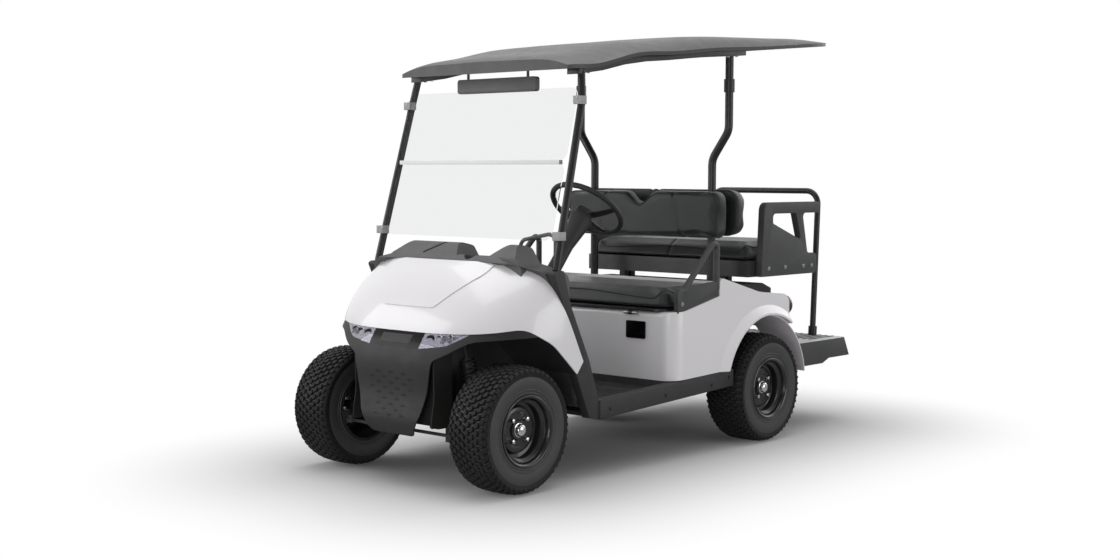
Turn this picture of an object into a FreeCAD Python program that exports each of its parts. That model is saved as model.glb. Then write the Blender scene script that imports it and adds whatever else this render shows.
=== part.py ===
import FreeCAD, Part
import math
import os

V = FreeCAD.Vector

# A four-seat golf cart: two seats facing forward, two facing back over a step.
# Millimetres. X to the cart's left, Y to the rear, Z up. While a piece is drawn,
# Y is measured from the front axle; export moves it to the middle of the cart.

# Whole cart
WHEELBASE = 1670.0
REAR_OVERHANG = 858.0
BODY_HALF_WIDTH = 560.0
PANEL = 6.0
SEAT_GAP = 0.3
OVERRUN = 30.0

# Wheels
TYRE_RADIUS = 255.0
TYRE_WIDTH = 206.0
TYRE_SHOULDER = 26.0
TREAD_CROWN = 4.0
BEAD_RADIUS = 128.0
BEAD_WIDTH = 178.0
TYRE_WALL = 14.0
RIM_LIP = 141.0
RIM_LIP_WIDTH = 6.0
RIM_WALL = 5.0
RIM_WELL = 14.0
DISC_INSET = 52.0
DISC_RISE = 14.0
HUB_RADIUS = 44.0
HUB_LENGTH = 62.0
HUB_CAP_RADIUS = 26.0
HUB_CAP_LENGTH = 24.0
FRONT_TRACK = 940.0
REAR_TRACK = 975.0
SPINDLE_RADIUS = 17.0
RUNNING_CLEARANCE = 0.05
AXIAL_CLEARANCE = 1.0

# Steering knuckles and tie rod
KINGPIN_INSET = 120.0
KINGPIN_RADIUS = 10.0
KNUCKLE_RADIUS = 24.0
KNUCKLE_HEIGHT = 112.0
STEERING_ARM = 112.0
STEERING_ARM_WIDTH = 30.0
STEERING_ARM_THICKNESS = 14.0
STEERING_ARM_DROP = 34.0
TIE_ROD_RADIUS = 9.0
TIE_ROD_EYE_RADIUS = 15.0
TIE_ROD_PIN_RADIUS = 6.0

# Front suspension
ARM_THICKNESS = 18.0
ARM_ROOT_HALF = 88.0
ARM_EYE_RADIUS = 24.0
TOWER_HEIGHT = 300.0
SHOCK_RADIUS = 24.0
SHOCK_ROD_RADIUS = 9.0
SHOCK_TOP_INSET = 26.0

# Chassis
RAIL_CENTRE = 175.0
RAIL_WIDTH = 50.0
RAIL_DEPTH = 62.0
RAIL_BEND = 60.0
CROSS_RADIUS = 19.0
FRONT_RAIL_REACH = 128.0
CHASSIS_KICK_RISE = 112.0
KICK_START = 330.0
KICK_RUN = 170.0

# Floor and rockers
FLOOR_TOP = 310.0
FLOOR_SHEET = 12.0
FLOOR_HALF_WIDTH = 512.0
TOE_FOOT = 360.0
TOE_HEAD = 262.0
TOE_BEND = 60.0
ROCKER_BOTTOM_FRONT = 246.0
ROCKER_BOTTOM_REAR = 290.0
ROCKER_TOP_FRONT = 326.0
ROCKER_TOP_REAR = 368.0
ROCKER_FRONT = 452.0
ROCKER_REAR_INSET = 262.0

# Nose: the surface that cowl, lamps and fascia share
NOSE_REACH = 202.0
LAMP_REACH = 150.0
NOSE_FLOOR = 205.0
LAMP_LOW = 561.0
LAMP_LINE = 623.0
COWL_TOP = 900.0
COWL_TOP_BACK = 70.0
NOSE_SIDE_BACK = 370.0
NOSE_ROUNDNESS = 3.4
NOSE_BACK = 460.0
# Share of the way from the lamp line to the cowl's top edge: height, then setback.
HOOD_LEVEL_SHARES = [(-0.66, 0.0), (-0.3, 0.0), (0.0, 0.0), (0.25, 0.12), (0.55, 0.36), (0.8, 0.66),
                     (1.0, 1.0)]
HOOD_WIDTH_SHARES = [1.0, 1.0, 1.0, 0.995, 0.975, 0.945, 0.89]
HOOD_ROUNDNESS_SHARES = [1.0, 1.0, 1.0, 0.97, 0.88, 0.78, 0.73]
HOOD_PAD_RISE = 3.0
HOOD_PAD_FOOT_HALF = 150.0
HOOD_PAD_FOOT_HEIGHT = 722.0
HOOD_PAD_HEAD_HALF = 300.0
HOOD_PAD_HEAD_HEIGHT = 862.0
HOOD_PAD_CORNER = 50.0
# Share of the way from the fascia's foot to the lamp line, then share of the reach.
FASCIA_LEVEL_SHARES = [(0.0, 0.94), (0.4, 0.99), (0.72, 1.0), (0.852, 0.93), (1.0, 0.742), (1.09, 0.62)]

# Side view of the cowl's edges: Y from the front axle, Z from the floor.
ARCH_CREST_BACK = 33.0
ARCH_CREST_HEIGHT = 650.0
ARCH_TAIL_BACK = 306.0
ARCH_TAIL_HEIGHT = 450.0
COWL_TAIL_BACK = 344.0
COWL_TAIL_HEIGHT = 498.0
COWL_HAUNCH_BACK = 226.0
COWL_HAUNCH_HEIGHT = 735.0
COWL_SHOULDER_BACK = 165.0
COWL_SHOULDER_HEIGHT = 864.0

# Fascia seen from the front: half widths
FASCIA_FOOT_HALF = 122.0
FASCIA_LOW_HALF = 174.0
FASCIA_MID_HALF = 205.0
FASCIA_TOP_HALF = 226.0
FASCIA_WING_HALF = 292.0
FASCIA_WING_HEIGHT = 548.0
FASCIA_CORNER = 30.0

# Lamps seen from the front
LAMP_INNER_HALF = 145.0
LAMP_BELLY_HALF = 282.0
LAMP_BELLY_HEIGHT = 580.0
LAMP_TIP_HALF = 378.0
LAMP_TIP_HEIGHT = 636.0
LAMP_DEPTH = 44.0
LENS_THICKNESS = 4.0

# Pillar trims
TRIM_WIDTH = 46.0
TRIM_TOP_HEIGHT = 872.0
TRIM_FOOT_BACK = 392.0
TRIM_FOOT_HEIGHT = 258.0

# Fender liners
LINER_SHEET = 5.0
LINER_INNER = 236.0
LINER_TUCK = 6.0
SPLASH_FRONT = 205.0
SPLASH_REAR = 84.0
SPLASH_FOOT = 250.0
SHIELD_REACH = 150.0

# Dashboard
DASH_DEPTH = 168.0
DASH_BOTTOM = 640.0
DASH_CROWN = 928.0
DASH_END_DROP = 62.0
POD_RISE = 50.0
PASSENGER_POD_OUTER = 380.0
PASSENGER_POD_REACH = 98.0
DRIVER_POD_INNER = 190.0
DRIVER_POD_END = 80.0
POD_DEPTH = 130.0
CUP_RADIUS = 37.0
CUP_WALL = 10.0
CUP_DEPTH = 74.0
BIN_OUTER = 440.0
BIN_WIDTH = 310.0
BIN_HEIGHT = 88.0
BIN_FLOOR = 742.0
BIN_DEPTH = 96.0
BIN_CORNER = 18.0
LOOP_BACK = 262.0
LOOP_INNER_X = 285.0
LOOP_OUTER_X = 478.0
LOOP_FOOT = 880.0
LOOP_SHOULDER = 985.0
LOOP_CROWN = 1022.0
LOOP_RADIUS = 8.0
LOOP_BEND = 34.0

# Steering wheel and column
STEERING_X = 280.0
STEERING_BACK = 687.0
STEERING_HEIGHT = 1110.0
COLUMN_ELEVATION = 50.0
STEERING_RADIUS = 162.0
STEERING_RIM = 13.0
STEERING_DISH = 34.0
STEERING_HUB = 42.0
STEERING_HUB_DEPTH = 40.0
SPOKE_THICKNESS = 12.0
COLUMN_RADIUS = 30.0
COLUMN_SHROUD = 52.0
SHROUD_LENGTH = 150.0
SHAFT_RADIUS = 9.0
SHAFT_LENGTH = 60.0

# Pedals
PEDAL_WIDTH = 78.0
PEDAL_HEIGHT = 120.0
PEDAL_THICKNESS = 12.0
BRAKE_PEDAL_X = 250.0
GO_PEDAL_X = 390.0
PEDAL_RISE = 60.0
PEDAL_STALK = 48.0
PEDAL_STALK_RADIUS = 9.0

# Rear body, measured from the rear axle where that is behind it
SEAT_BOX_FRONT = 720.0
BODY_SKIN = 6.0
BODY_BOTTOM = 352.0
BODY_CORNER = 74.0
BODY_EDGE = 24.0
BODY_TAIL_CORNER = 40.0
SEAT_BOX_TOP = 656.0
SEAT_BOX_RISE = 54.0
HUMP_FRONT = 378.0
HUMP_HEIGHT = 796.0
FENDER_CREST_HEIGHT = 712.0
FENDER_CREST_FRONT = 60.0
FENDER_TAIL_HEIGHT = 690.0
FENDER_TAIL = 170.0
BODY_TAIL = 224.0
BODY_TAIL_HEIGHT = 548.0
REAR_ARCH_RADIUS = 346.0
FLARE_WIDTH = 27.0
FLARE_LIP = 9.0
FLARE_RISE = 46.0
WHEEL_ROOM_INNER = 352.0

# Charge port cover
PORT_X = 350.0
PORT_HEIGHT = 570.0
PORT_WIDTH = 108.0
PORT_TALL = 78.0
PORT_THICKNESS = 8.0

# Front seat
CUSHION_HALF_WIDTH = 522.0
CUSHION_THICKNESS = 86.0
CUSHION_OVERHANG = 15.0
CUSHION_CORNER = 60.0
CUSHION_GAP = 6.0
BOARD_THICKNESS = 12.0
BOARD_INSET = 24.0
HINGE_X = 325.0
HINGE_WIDTH = 74.0
HINGE_BARREL = 7.0
HINGE_PIN = 3.0
HINGE_LEAF = 3.0
HINGE_DROP = 5.0
HINGE_KNUCKLE_GAP = 0.5

# Backrests and struts
STRUT_FRONT = 170.0
STRUT_RADIUS = 19.0
STRUT_LOW_X = 359.0
STRUT_HIGH_X = 452.0
STRUT_KINK_LOW = 1330.0
STRUT_KINK_HIGH = 1462.0
STRUT_BEND = 90.0
STRUT_COLLAR_RADIUS = 25.0
STRUT_COLLAR_LENGTH = 60.0
STRUT_COLLAR_HEIGHT = 1640.0
BACKREST_HALF_WIDTH = 478.0
BACKREST_BOTTOM = 950.0
BACKREST_TOP = 1189.0
BACKREST_THICKNESS = 84.0
BACKREST_CORNER = 46.0
NOTCH_HALF = 84.0
NOTCH_FLOOR_HALF = 26.0
NOTCH_DEPTH = 56.0
REAR_BACKREST_HALF_WIDTH = 500.0
REAR_BACKREST_BOTTOM = 958.0
REAR_BACKREST_TOP = 1202.0
REAR_BACKREST_CORNER = 78.0

# Hip restraints
SKIRT_THICKNESS = 22.0
SKIRT_GAP = 10.0
SKIRT_HEIGHT_FRONT = 100.0
SKIRT_HEIGHT_REAR = 68.0
SKIRT_FRONT_INSET = 36.0
SKIRT_LENGTH = 316.0
HIP_BAR_RADIUS = 14.0
HIP_BAR_TOP = 978.0
HIP_BAR_FOOT_INSET = 50.0
HIP_BAR_BEND = 24.0

# Windscreen
POST_FOOT_X = 530.0
POST_FOOT_BACK = 207.0
POST_HEAD_X = 504.0
POST_HEAD_BACK = 392.0
POST_HEAD_HEIGHT = 1560.0
POST_TOP_X = 480.0
POST_TOP_BACK = 414.0
POST_RADIUS = 16.0
POST_BEND = 70.0
PANE_THICKNESS = 5.0
PANE_HALF_WIDTH = 498.0
PANE_BOTTOM = 992.0
PANE_HINGE = 1307.0
PANE_TOP = 1612.0
PANE_CORNER = 40.0
PANE_GAP = 8.0
HINGE_STRIP_HALF = 474.0
HINGE_STRIP_DEPTH = 8.0
HINGE_STRIP_HEIGHT = 18.0
CLIP_WIDTH = 40.0
CLIP_HEIGHT = 34.0
CLIP_REACH = 30.0
CLIP_LOW = 1010.0
CLIP_HIGH = 1560.0

# Roof
ROOF_FRONT = 318.0
ROOF_REAR = 575.0
ROOF_FRONT_HALF = 512.0
ROOF_REAR_HALF = 532.0
ROOF_FRONT_HEIGHT = 1683.0
ROOF_REAR_HEIGHT = 1896.0
ROOF_SKIN = 8.0
ROOF_LIP = 16.0
ROOF_CROWN = 36.0
# Share of the roof's length, share of its rise, share of its width, share of its crown.
ROOF_STATION_SHARES = [(0.0, 0.0, 0.955, 0.86), (0.058, 0.038, 0.995, 1.5), (0.14, 0.174, 1.0, 1.55),
                       (0.215, 0.338, 1.0, 1.45), (0.343, 0.441, 1.0, 1.65), (0.473, 0.573, 1.0, 1.7),
                       (0.694, 0.737, 1.0, 1.55), (0.868, 0.887, 1.0, 1.1), (0.95, 0.957, 0.985, 0.85),
                       (1.0, 1.0, 0.95, 0.5)]
ROOF_BEAM_WIDTH = 66.0
ROOF_BEAM_DEPTH = 22.0
ROOF_BEAM_X = 465.0

# Mirror
MIRROR_HALF_LENGTH = 232.0
MIRROR_HEIGHT = 62.0
MIRROR_DEPTH = 26.0
MIRROR_DROP = 22.0
MIRROR_SETBACK = 104.0
MIRROR_STEM_X = 177.0
MIRROR_STEM_RADIUS = 6.0

# Rear seat
REAR_SEAT_FRONT = 56.0
REAR_SEAT_REAR = 490.0
REAR_SEAT_HALF = 492.0
REAR_PAN_BOTTOM = 776.0
REAR_PAN_HEIGHT = 76.0
REAR_CUSHION_THICKNESS = 84.0
REAR_CUSHION_INSET = 10.0
REAR_LEG = 34.0
REAR_LEG_X = 300.0
ARMREST_THICKNESS = 34.0
ARMREST_FRONT = 6.0
ARMREST_TOP = 1128.0
ARMREST_TOP_FRONT = 26.0
ARMREST_TOP_REAR = 515.0
ARMREST_BAR = 54.0
ARMREST_LEG = 92.0
ARMREST_BOX = 100.0
ARMREST_BOX_REAR = 485.0
ARMREST_CORNER = 40.0
ARMREST_HOLE_REAR = 298.0
ARMREST_HOLE_SLANT = 48.0
ARMREST_SILL_FRONT = 1028.0
ARMREST_SILL_REAR = 942.0
ARMREST_REAR_LEG = 58.0

# Grab hoop and foot platform
HOOP_HALF = 335.0
HOOP_TOP = 1176.0
HOOP_RADIUS = 15.0
HOOP_BEND = 70.0
HOOP_FOOT_INSET = 92.0
HOOP_LEAN = 36.0
HOOP_SOCKET_RADIUS = 22.0
HOOP_SOCKET_LENGTH = 46.0
PLATFORM_HALF = 502.0
PLATFORM_LENGTH = 488.0
PLATFORM_TOP = 430.0
PLATFORM_DEEP = 310.0
PLATFORM_SKIRT = 332.0
PLATFORM_DEEP_LENGTH = 232.0
PLATFORM_WALL = 8.0
PLATFORM_REAR_RAKE = 52.0
PLATFORM_FRONT_RAKE = 30.0

# Tail lamps and rear deck
TAIL_LAMP_X = 490.0
TAIL_LAMP_RADIUS = 48.0
TAIL_LAMP_DEPTH = 34.0
TAIL_LAMP_HEIGHT = 628.0
DECK_HALF = 470.0
DECK_THICKNESS = 14.0

# Rear axle, springs and the heavy blocks
AXLE_RADIUS = 36.0
AXLE_CASE_RADIUS = 96.0
AXLE_CASE_HALF = 84.0
MOTOR_RADIUS = 92.0
MOTOR_LENGTH = 230.0
SPRING_HALF = 330.0
SPRING_WIDTH = 46.0
SPRING_THICKNESS = 20.0
SPRING_SAG = 46.0
BATTERY_HALF = 380.0
BATTERY_LENGTH = 300.0
BATTERY_HEIGHT = 250.0
BATTERY_INSET = 70.0

# Places that follow from the sizes above
FRONT_EDGE = -TYRE_RADIUS
REAR_EDGE = WHEELBASE + REAR_OVERHANG
MIDDLE = (FRONT_EDGE + REAR_EDGE) / 2
AXLE_HEIGHT = TYRE_RADIUS
KINGPIN_X = FRONT_TRACK / 2 - KINGPIN_INSET
SEAT_FRONT_Y = WHEELBASE - SEAT_BOX_FRONT
STRUT_Y = WHEELBASE - STRUT_FRONT
RAIL_TOP = FLOOR_TOP - FLOOR_SHEET
RAIL_BOTTOM = RAIL_TOP - RAIL_DEPTH
KICK_TOP = RAIL_TOP + CHASSIS_KICK_RISE
PLATFORM_FRONT_Y = REAR_EDGE - PLATFORM_LENGTH
BOARD_BOTTOM = SEAT_BOX_TOP + SEAT_GAP
DASH_HALF_WIDTH = FLOOR_HALF_WIDTH
BACKREST_REAR_Y = STRUT_Y - STRUT_RADIUS - SEAT_GAP
CUSHION_REAR_Y = BACKREST_REAR_Y - BACKREST_THICKNESS
REAR_BACKREST_FRONT_Y = STRUT_Y + STRUT_RADIUS + SEAT_GAP
PAN_TOP = REAR_PAN_BOTTOM + REAR_PAN_HEIGHT
COLUMN_AXIS = V(0, math.cos(math.radians(COLUMN_ELEVATION)), math.sin(math.radians(COLUMN_ELEVATION)))
STEERING_CENTRE = V(STEERING_X, STEERING_BACK, STEERING_HEIGHT)

LOOP_PLACES = [(LOOP_INNER_X, LOOP_FOOT), (LOOP_INNER_X, LOOP_SHOULDER), (LOOP_OUTER_X, LOOP_CROWN),
               (LOOP_OUTER_X, LOOP_FOOT)]

AXES = {"yz": V(1, 0, 0), "xz": V(0, 1, 0), "xy": V(0, 0, 1)}


def on_plane(plane, a, b):
    """The point with in-plane coordinates a and b."""
    if plane == "yz":
        return V(0, a, b)
    if plane == "xz":
        return V(a, 0, b)
    return V(a, b, 0)


def outline(plane, corners):
    """A closed wire of straight sides, each corner rounded by its own radius if it has one."""
    points = [on_plane(plane, corner[0], corner[1]) for corner in corners]
    radii = [corner[2] if len(corner) > 2 else 0.0 for corner in corners]
    joints = []
    for i, point in enumerate(points):
        to_last = points[i - 1] - point
        to_next = points[(i + 1) % len(points)] - point
        room = min(to_last.Length, to_next.Length) * 0.49
        half = to_last.getAngle(to_next) / 2
        cut = min(radii[i] / math.tan(half), room) if radii[i] else 0.0
        if not cut:
            joints.append((point, point, None))
            continue
        to_last.normalize()
        to_next.normalize()
        inward = to_last + to_next
        inward.normalize()
        radius = cut * math.tan(half)
        nearest = point + inward * (radius / math.sin(half) - radius)
        joints.append((point + to_last * cut, point + to_next * cut, nearest))
    edges = []
    for i, (start, end, nearest) in enumerate(joints):
        if nearest:
            edges.append(Part.Arc(start, nearest, end).toShape())
        following = joints[(i + 1) % len(joints)][0]
        if not end.isEqual(following, 1e-6):
            edges.append(Part.makeLine(end, following))
    return Part.Wire(edges)


def prism(plane, corners, low, high):
    """The outline drawn on a plane, filled and pushed from low to high along its normal."""
    normal = AXES[plane]
    face = Part.Face(outline(plane, corners))
    face.translate(normal * low)
    return face.extrude(normal * (high - low))


def block(x0, x1, y0, y1, z0, z1):
    """A rectangular block between two corners."""
    return Part.makeBox(x1 - x0, y1 - y0, z1 - z0, V(x0, y0, z0))


def rod(start, end, radius):
    """A round bar between two points."""
    along = end - start
    return Part.makeCylinder(radius, along.Length, start, along)


def cone(start, end, start_radius, end_radius):
    """A tapered round bar between two points."""
    along = end - start
    return Part.makeCone(start_radius, end_radius, along.Length, start, along)


def tube(points, radius, bend):
    """A round bar along straight runs joined by tangent bends."""
    edges = []
    last = points[0]
    for i in range(1, len(points) - 1):
        to_last = points[i - 1] - points[i]
        to_next = points[i + 1] - points[i]
        half = to_last.getAngle(to_next) / 2
        cut = min(bend / math.tan(half), min(to_last.Length, to_next.Length) * 0.45)
        to_last.normalize()
        to_next.normalize()
        inward = to_last + to_next
        inward.normalize()
        turn = cut * math.tan(half)
        start = points[i] + to_last * cut
        end = points[i] + to_next * cut
        nearest = points[i] + inward * (turn / math.sin(half) - turn)
        edges.append(Part.makeLine(last, start))
        edges.append(Part.Arc(start, nearest, end).toShape())
        last = end
    edges.append(Part.makeLine(last, points[-1]))
    ring = Part.Wire(Part.makeCircle(radius, points[0], points[1] - points[0]))
    return Part.Wire(edges).makePipeShell([ring], True, False)


def mirrored(shape):
    """The same shape on the cart's other side."""
    return shape.mirror(V(0, 0, 0), V(1, 0, 0))


def both_sides(shape):
    """A shape and its mirror image, as separate solids."""
    return Part.makeCompound(shape.Solids + mirrored(shape).Solids)


def fused(shapes):
    """Several shapes as one solid."""
    first = shapes[0]
    return first.multiFuse(shapes[1:]).removeSplitter()


def revolved(profile, centre):
    """A profile of (distance along X, radius) pairs, turned about the X axis through a point."""
    points = [V(x, 0, r) for x, r in profile]
    wire = Part.makePolygon(points + [points[0]])
    solid = Part.Face(wire).revolve(V(0, 0, 0), V(1, 0, 0), 360)
    solid.translate(centre)
    return solid


# Nose surface

def nose_section(height, front, half_width, side_back, back, roundness=NOSE_ROUNDNESS):
    """A level outline of the nose: a full curve across the front and straight sides."""
    power = 2 / roundness
    steps = 12
    points = []
    for i in range(steps + 1):
        angle = math.pi * (i / steps - 0.5)
        across = math.copysign(abs(math.sin(angle)) ** power, angle)
        forward = max(math.cos(angle), 0.0) ** power
        points.append(V(half_width * across, side_back - (side_back - front) * forward, height))
    curve = Part.BSplineCurve()
    curve.interpolate(points)
    left, right = points[-1], points[0]
    left_back = V(left.x, back, height)
    right_back = V(right.x, back, height)
    sides = [Part.makeLine(left, left_back), Part.makeLine(left_back, right_back),
             Part.makeLine(right_back, right)]
    return Part.Wire([curve.toShape()] + sides)


def hood_form(inset):
    """The full nose above the lamp line, shrunk all round by an inset."""
    sections = []
    levels = zip(HOOD_LEVEL_SHARES, HOOD_WIDTH_SHARES, HOOD_ROUNDNESS_SHARES)
    for (rise_share, back_share), width_share, round_share in levels:
        height = LAMP_LINE + (COWL_TOP - LAMP_LINE) * rise_share - inset * max(rise_share, 0)
        front = -LAMP_REACH + (COWL_TOP_BACK + LAMP_REACH) * back_share + inset
        sections.append(nose_section(height, front, BODY_HALF_WIDTH * width_share - inset,
                                     NOSE_SIDE_BACK, NOSE_BACK + inset, NOSE_ROUNDNESS * round_share))
    return Part.makeLoft(sections, True, False)


def fascia_form(inset):
    """The full nose below the lamp line, shrunk by an inset."""
    sections = []
    for rise_share, reach_share in FASCIA_LEVEL_SHARES:
        height = NOSE_FLOOR + (LAMP_LINE - NOSE_FLOOR) * rise_share
        sections.append(nose_section(height, -NOSE_REACH * reach_share + inset, BODY_HALF_WIDTH - inset,
                                     NOSE_SIDE_BACK, NOSE_BACK + inset))
    return Part.makeLoft(sections, True, False)


def cowl_edge():
    """The cowl's rear edge in side view, from its tail up to the dashboard's lip."""
    return [(COWL_TAIL_BACK, COWL_TAIL_HEIGHT), (COWL_HAUNCH_BACK, COWL_HAUNCH_HEIGHT, PANEL * 40),
            (COWL_SHOULDER_BACK, COWL_SHOULDER_HEIGHT, PANEL * 20),
            (COWL_TOP_BACK + PANEL * 2, COWL_TOP)]


def arch_edge():
    """The cowl's lower edge in side view, from the nose over the wheel to its tail."""
    mid_back = (ARCH_CREST_BACK + ARCH_TAIL_BACK) / 2
    return [(-NOSE_REACH - OVERRUN, LAMP_LINE), (-LAMP_REACH, LAMP_LINE),
            (ARCH_CREST_BACK, ARCH_CREST_HEIGHT, PANEL * 20),
            (mid_back, ARCH_CREST_HEIGHT - (ARCH_CREST_HEIGHT - ARCH_TAIL_HEIGHT) * 0.36, PANEL * 40),
            (ARCH_TAIL_BACK, ARCH_TAIL_HEIGHT)]


def above_arch():
    """Everything between the cowl's lower edge, its rear edge and the space above."""
    corners = arch_edge() + cowl_edge() + [(COWL_TOP_BACK + PANEL * 2, COWL_TOP + OVERRUN),
                                          (-NOSE_REACH - OVERRUN, COWL_TOP + OVERRUN)]
    return prism("yz", corners, -BODY_HALF_WIDTH - OVERRUN, BODY_HALF_WIDTH + OVERRUN)


def front_cowl():
    """The painted shell over the front wheels."""
    outer = hood_form(0.0)
    shell = outer.cut(hood_form(PANEL)).common(above_arch())
    half = [(HOOD_PAD_FOOT_HALF, HOOD_PAD_FOOT_HEIGHT, HOOD_PAD_CORNER),
            (HOOD_PAD_HEAD_HALF, HOOD_PAD_HEAD_HEIGHT, HOOD_PAD_CORNER),
            (HOOD_PAD_HEAD_HALF, COWL_TOP + OVERRUN)]
    other = [(-corner[0],) + tuple(corner[1:]) for corner in reversed(half)]
    pad = prism("xz", half + other, -NOSE_REACH - OVERRUN, NOSE_BACK)
    pad = pad.common(hood_form(-HOOD_PAD_RISE)).cut(outer).common(above_arch())
    return largest(fused([shell, largest(pad)]))


def fascia_outline(margin=0.0):
    """The fascia seen from the front."""
    half = [(0, NOSE_FLOOR - margin), (FASCIA_FOOT_HALF, NOSE_FLOOR - margin, FASCIA_CORNER),
            (FASCIA_LOW_HALF, NOSE_FLOOR + (LAMP_LOW - NOSE_FLOOR) * 0.25, FASCIA_CORNER * 4),
            (FASCIA_MID_HALF, NOSE_FLOOR + (LAMP_LOW - NOSE_FLOOR) * 0.55, FASCIA_CORNER * 4),
            (FASCIA_TOP_HALF, FASCIA_WING_HEIGHT - FASCIA_CORNER, FASCIA_CORNER),
            (FASCIA_WING_HALF, FASCIA_WING_HEIGHT, FASCIA_CORNER * 4),
            (LAMP_TIP_HALF, (FASCIA_WING_HEIGHT + ARCH_CREST_HEIGHT) / 2, FASCIA_CORNER * 4),
            (BODY_HALF_WIDTH + OVERRUN, ARCH_CREST_HEIGHT - FASCIA_CORNER),
            (BODY_HALF_WIDTH + OVERRUN, ARCH_CREST_HEIGHT + OVERRUN)]
    other = [(-corner[0],) + tuple(corner[1:]) for corner in reversed(half[1:])]
    return half + other


def lamp_outline():
    """A headlamp seen from the front, on the cart's left."""
    return [(LAMP_INNER_HALF, LAMP_LOW), (LAMP_BELLY_HALF, LAMP_BELLY_HEIGHT, FASCIA_CORNER * 3),
            (LAMP_TIP_HALF, LAMP_TIP_HEIGHT), (LAMP_TIP_HALF, LAMP_TIP_HEIGHT + OVERRUN),
            (LAMP_INNER_HALF, LAMP_LINE + OVERRUN)]


def lamp_space():
    """The slot through the nose that one headlamp fills."""
    return prism("xz", lamp_outline(), -NOSE_REACH - OVERRUN, ARCH_CREST_BACK)


def centre_space():
    """The slot through the nose between the headlamps."""
    corners = [(-LAMP_INNER_HALF, LAMP_LOW), (LAMP_INNER_HALF, LAMP_LOW),
               (LAMP_INNER_HALF, LAMP_LINE + OVERRUN), (-LAMP_INNER_HALF, LAMP_LINE + OVERRUN)]
    return prism("xz", corners, -NOSE_REACH - OVERRUN, ARCH_CREST_BACK)


def front_fascia():
    """The grained lower nose with its wings under the lamps."""
    shell = fascia_form(0.0).cut(fascia_form(PANEL))
    shell = shell.common(prism("xz", fascia_outline(), -NOSE_REACH - OVERRUN, ARCH_TAIL_BACK))
    for space in (above_arch(), lamp_space(), mirrored(lamp_space()), centre_space()):
        shell = shell.cut(space)
    return largest(shell)


def largest(shape):
    """The biggest solid that a cut leaves."""
    return max(shape.Solids, key=lambda solid: solid.Volume)


def headlamp_lenses():
    """The two clear lenses, flush with the nose."""
    shell = fascia_form(0.0).cut(fascia_form(LENS_THICKNESS))
    lens = shell.common(lamp_space()).cut(above_arch())
    return both_sides(largest(lens))


def headlamp_bowls():
    """The bright housings behind the lenses."""
    shell = fascia_form(LENS_THICKNESS).cut(fascia_form(LAMP_DEPTH))
    bowl = shell.common(lamp_space()).cut(above_arch())
    return both_sides(largest(bowl))


def lamp_centre_panel():
    """The dark panel between the headlamps."""
    shell = fascia_form(0.0).cut(fascia_form(PANEL))
    return largest(shell.common(centre_space()).cut(above_arch()))


def pillar_trims():
    """The grained strips from the windscreen posts down to the rockers."""
    front = [(TRIM_FOOT_BACK, TRIM_FOOT_HEIGHT), (ARCH_TAIL_BACK, ARCH_TAIL_HEIGHT)] + cowl_edge()[:3]
    top = [(POST_FOOT_BACK - TRIM_WIDTH / 2, TRIM_TOP_HEIGHT),
           (POST_FOOT_BACK + TRIM_WIDTH / 2, TRIM_TOP_HEIGHT)]
    rear = [(COWL_HAUNCH_BACK + TRIM_WIDTH, COWL_HAUNCH_HEIGHT, PANEL * 40),
            (COWL_TAIL_BACK + TRIM_WIDTH, COWL_TAIL_HEIGHT, PANEL * 20),
            (ROCKER_FRONT, ROCKER_TOP_FRONT), (ROCKER_FRONT, ROCKER_BOTTOM_FRONT)]
    trim = prism("yz", front + top + rear, FLOOR_HALF_WIDTH, BODY_HALF_WIDTH - PANEL)
    return both_sides(trim)


# Floor, rockers and liners

def floor_pan():
    """The floor, the toe board that rises to the dashboard and the step under the seat box."""
    rear = SEAT_FRONT_Y + BODY_SKIN
    corners = [(rear, FLOOR_TOP - FLOOR_SHEET), (rear, BODY_BOTTOM), (rear - FLOOR_SHEET, BODY_BOTTOM),
               (rear - FLOOR_SHEET, FLOOR_TOP, FLOOR_SHEET), (TOE_FOOT, FLOOR_TOP, TOE_BEND),
               (TOE_HEAD, DASH_BOTTOM), (TOE_HEAD - FLOOR_SHEET, DASH_BOTTOM),
               (TOE_FOOT - FLOOR_SHEET, FLOOR_TOP - FLOOR_SHEET, TOE_BEND)]
    return prism("yz", corners, -FLOOR_HALF_WIDTH, FLOOR_HALF_WIDTH)


def rocker_profile():
    """A sill in side view."""
    rear = WHEELBASE - ROCKER_REAR_INSET
    return [(ROCKER_FRONT, ROCKER_BOTTOM_FRONT), (rear, ROCKER_BOTTOM_REAR), (rear, ROCKER_TOP_REAR),
            (SEAT_FRONT_Y, BODY_BOTTOM), (ROCKER_FRONT, ROCKER_TOP_FRONT)]


def rocker_panels():
    """The grained sills along both sides."""
    return both_sides(prism("yz", rocker_profile(), FLOOR_HALF_WIDTH, BODY_HALF_WIDTH))


def arc_liner(centre_y, radius, from_deg, to_deg, inner_x, outer_x):
    """A curved sheet over a wheel, between two angles measured from the rear horizontal."""
    def at(angle, distance):
        turn = math.radians(angle)
        return V(0, centre_y + distance * math.cos(turn), AXLE_HEIGHT + distance * math.sin(turn))
    middle = (from_deg + to_deg) / 2
    outer = Part.Arc(at(from_deg, radius + LINER_SHEET), at(middle, radius + LINER_SHEET),
                     at(to_deg, radius + LINER_SHEET)).toShape()
    inner = Part.Arc(at(to_deg, radius), at(middle, radius), at(from_deg, radius)).toShape()
    sides = [Part.makeLine(at(to_deg, radius + LINER_SHEET), at(to_deg, radius)),
             Part.makeLine(at(from_deg, radius), at(from_deg, radius + LINER_SHEET))]
    face = Part.Face(Part.Wire([outer, sides[0], inner, sides[1]]))
    face.translate(V(inner_x, 0, 0))
    return face.extrude(V(outer_x - inner_x, 0, 0))


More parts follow.
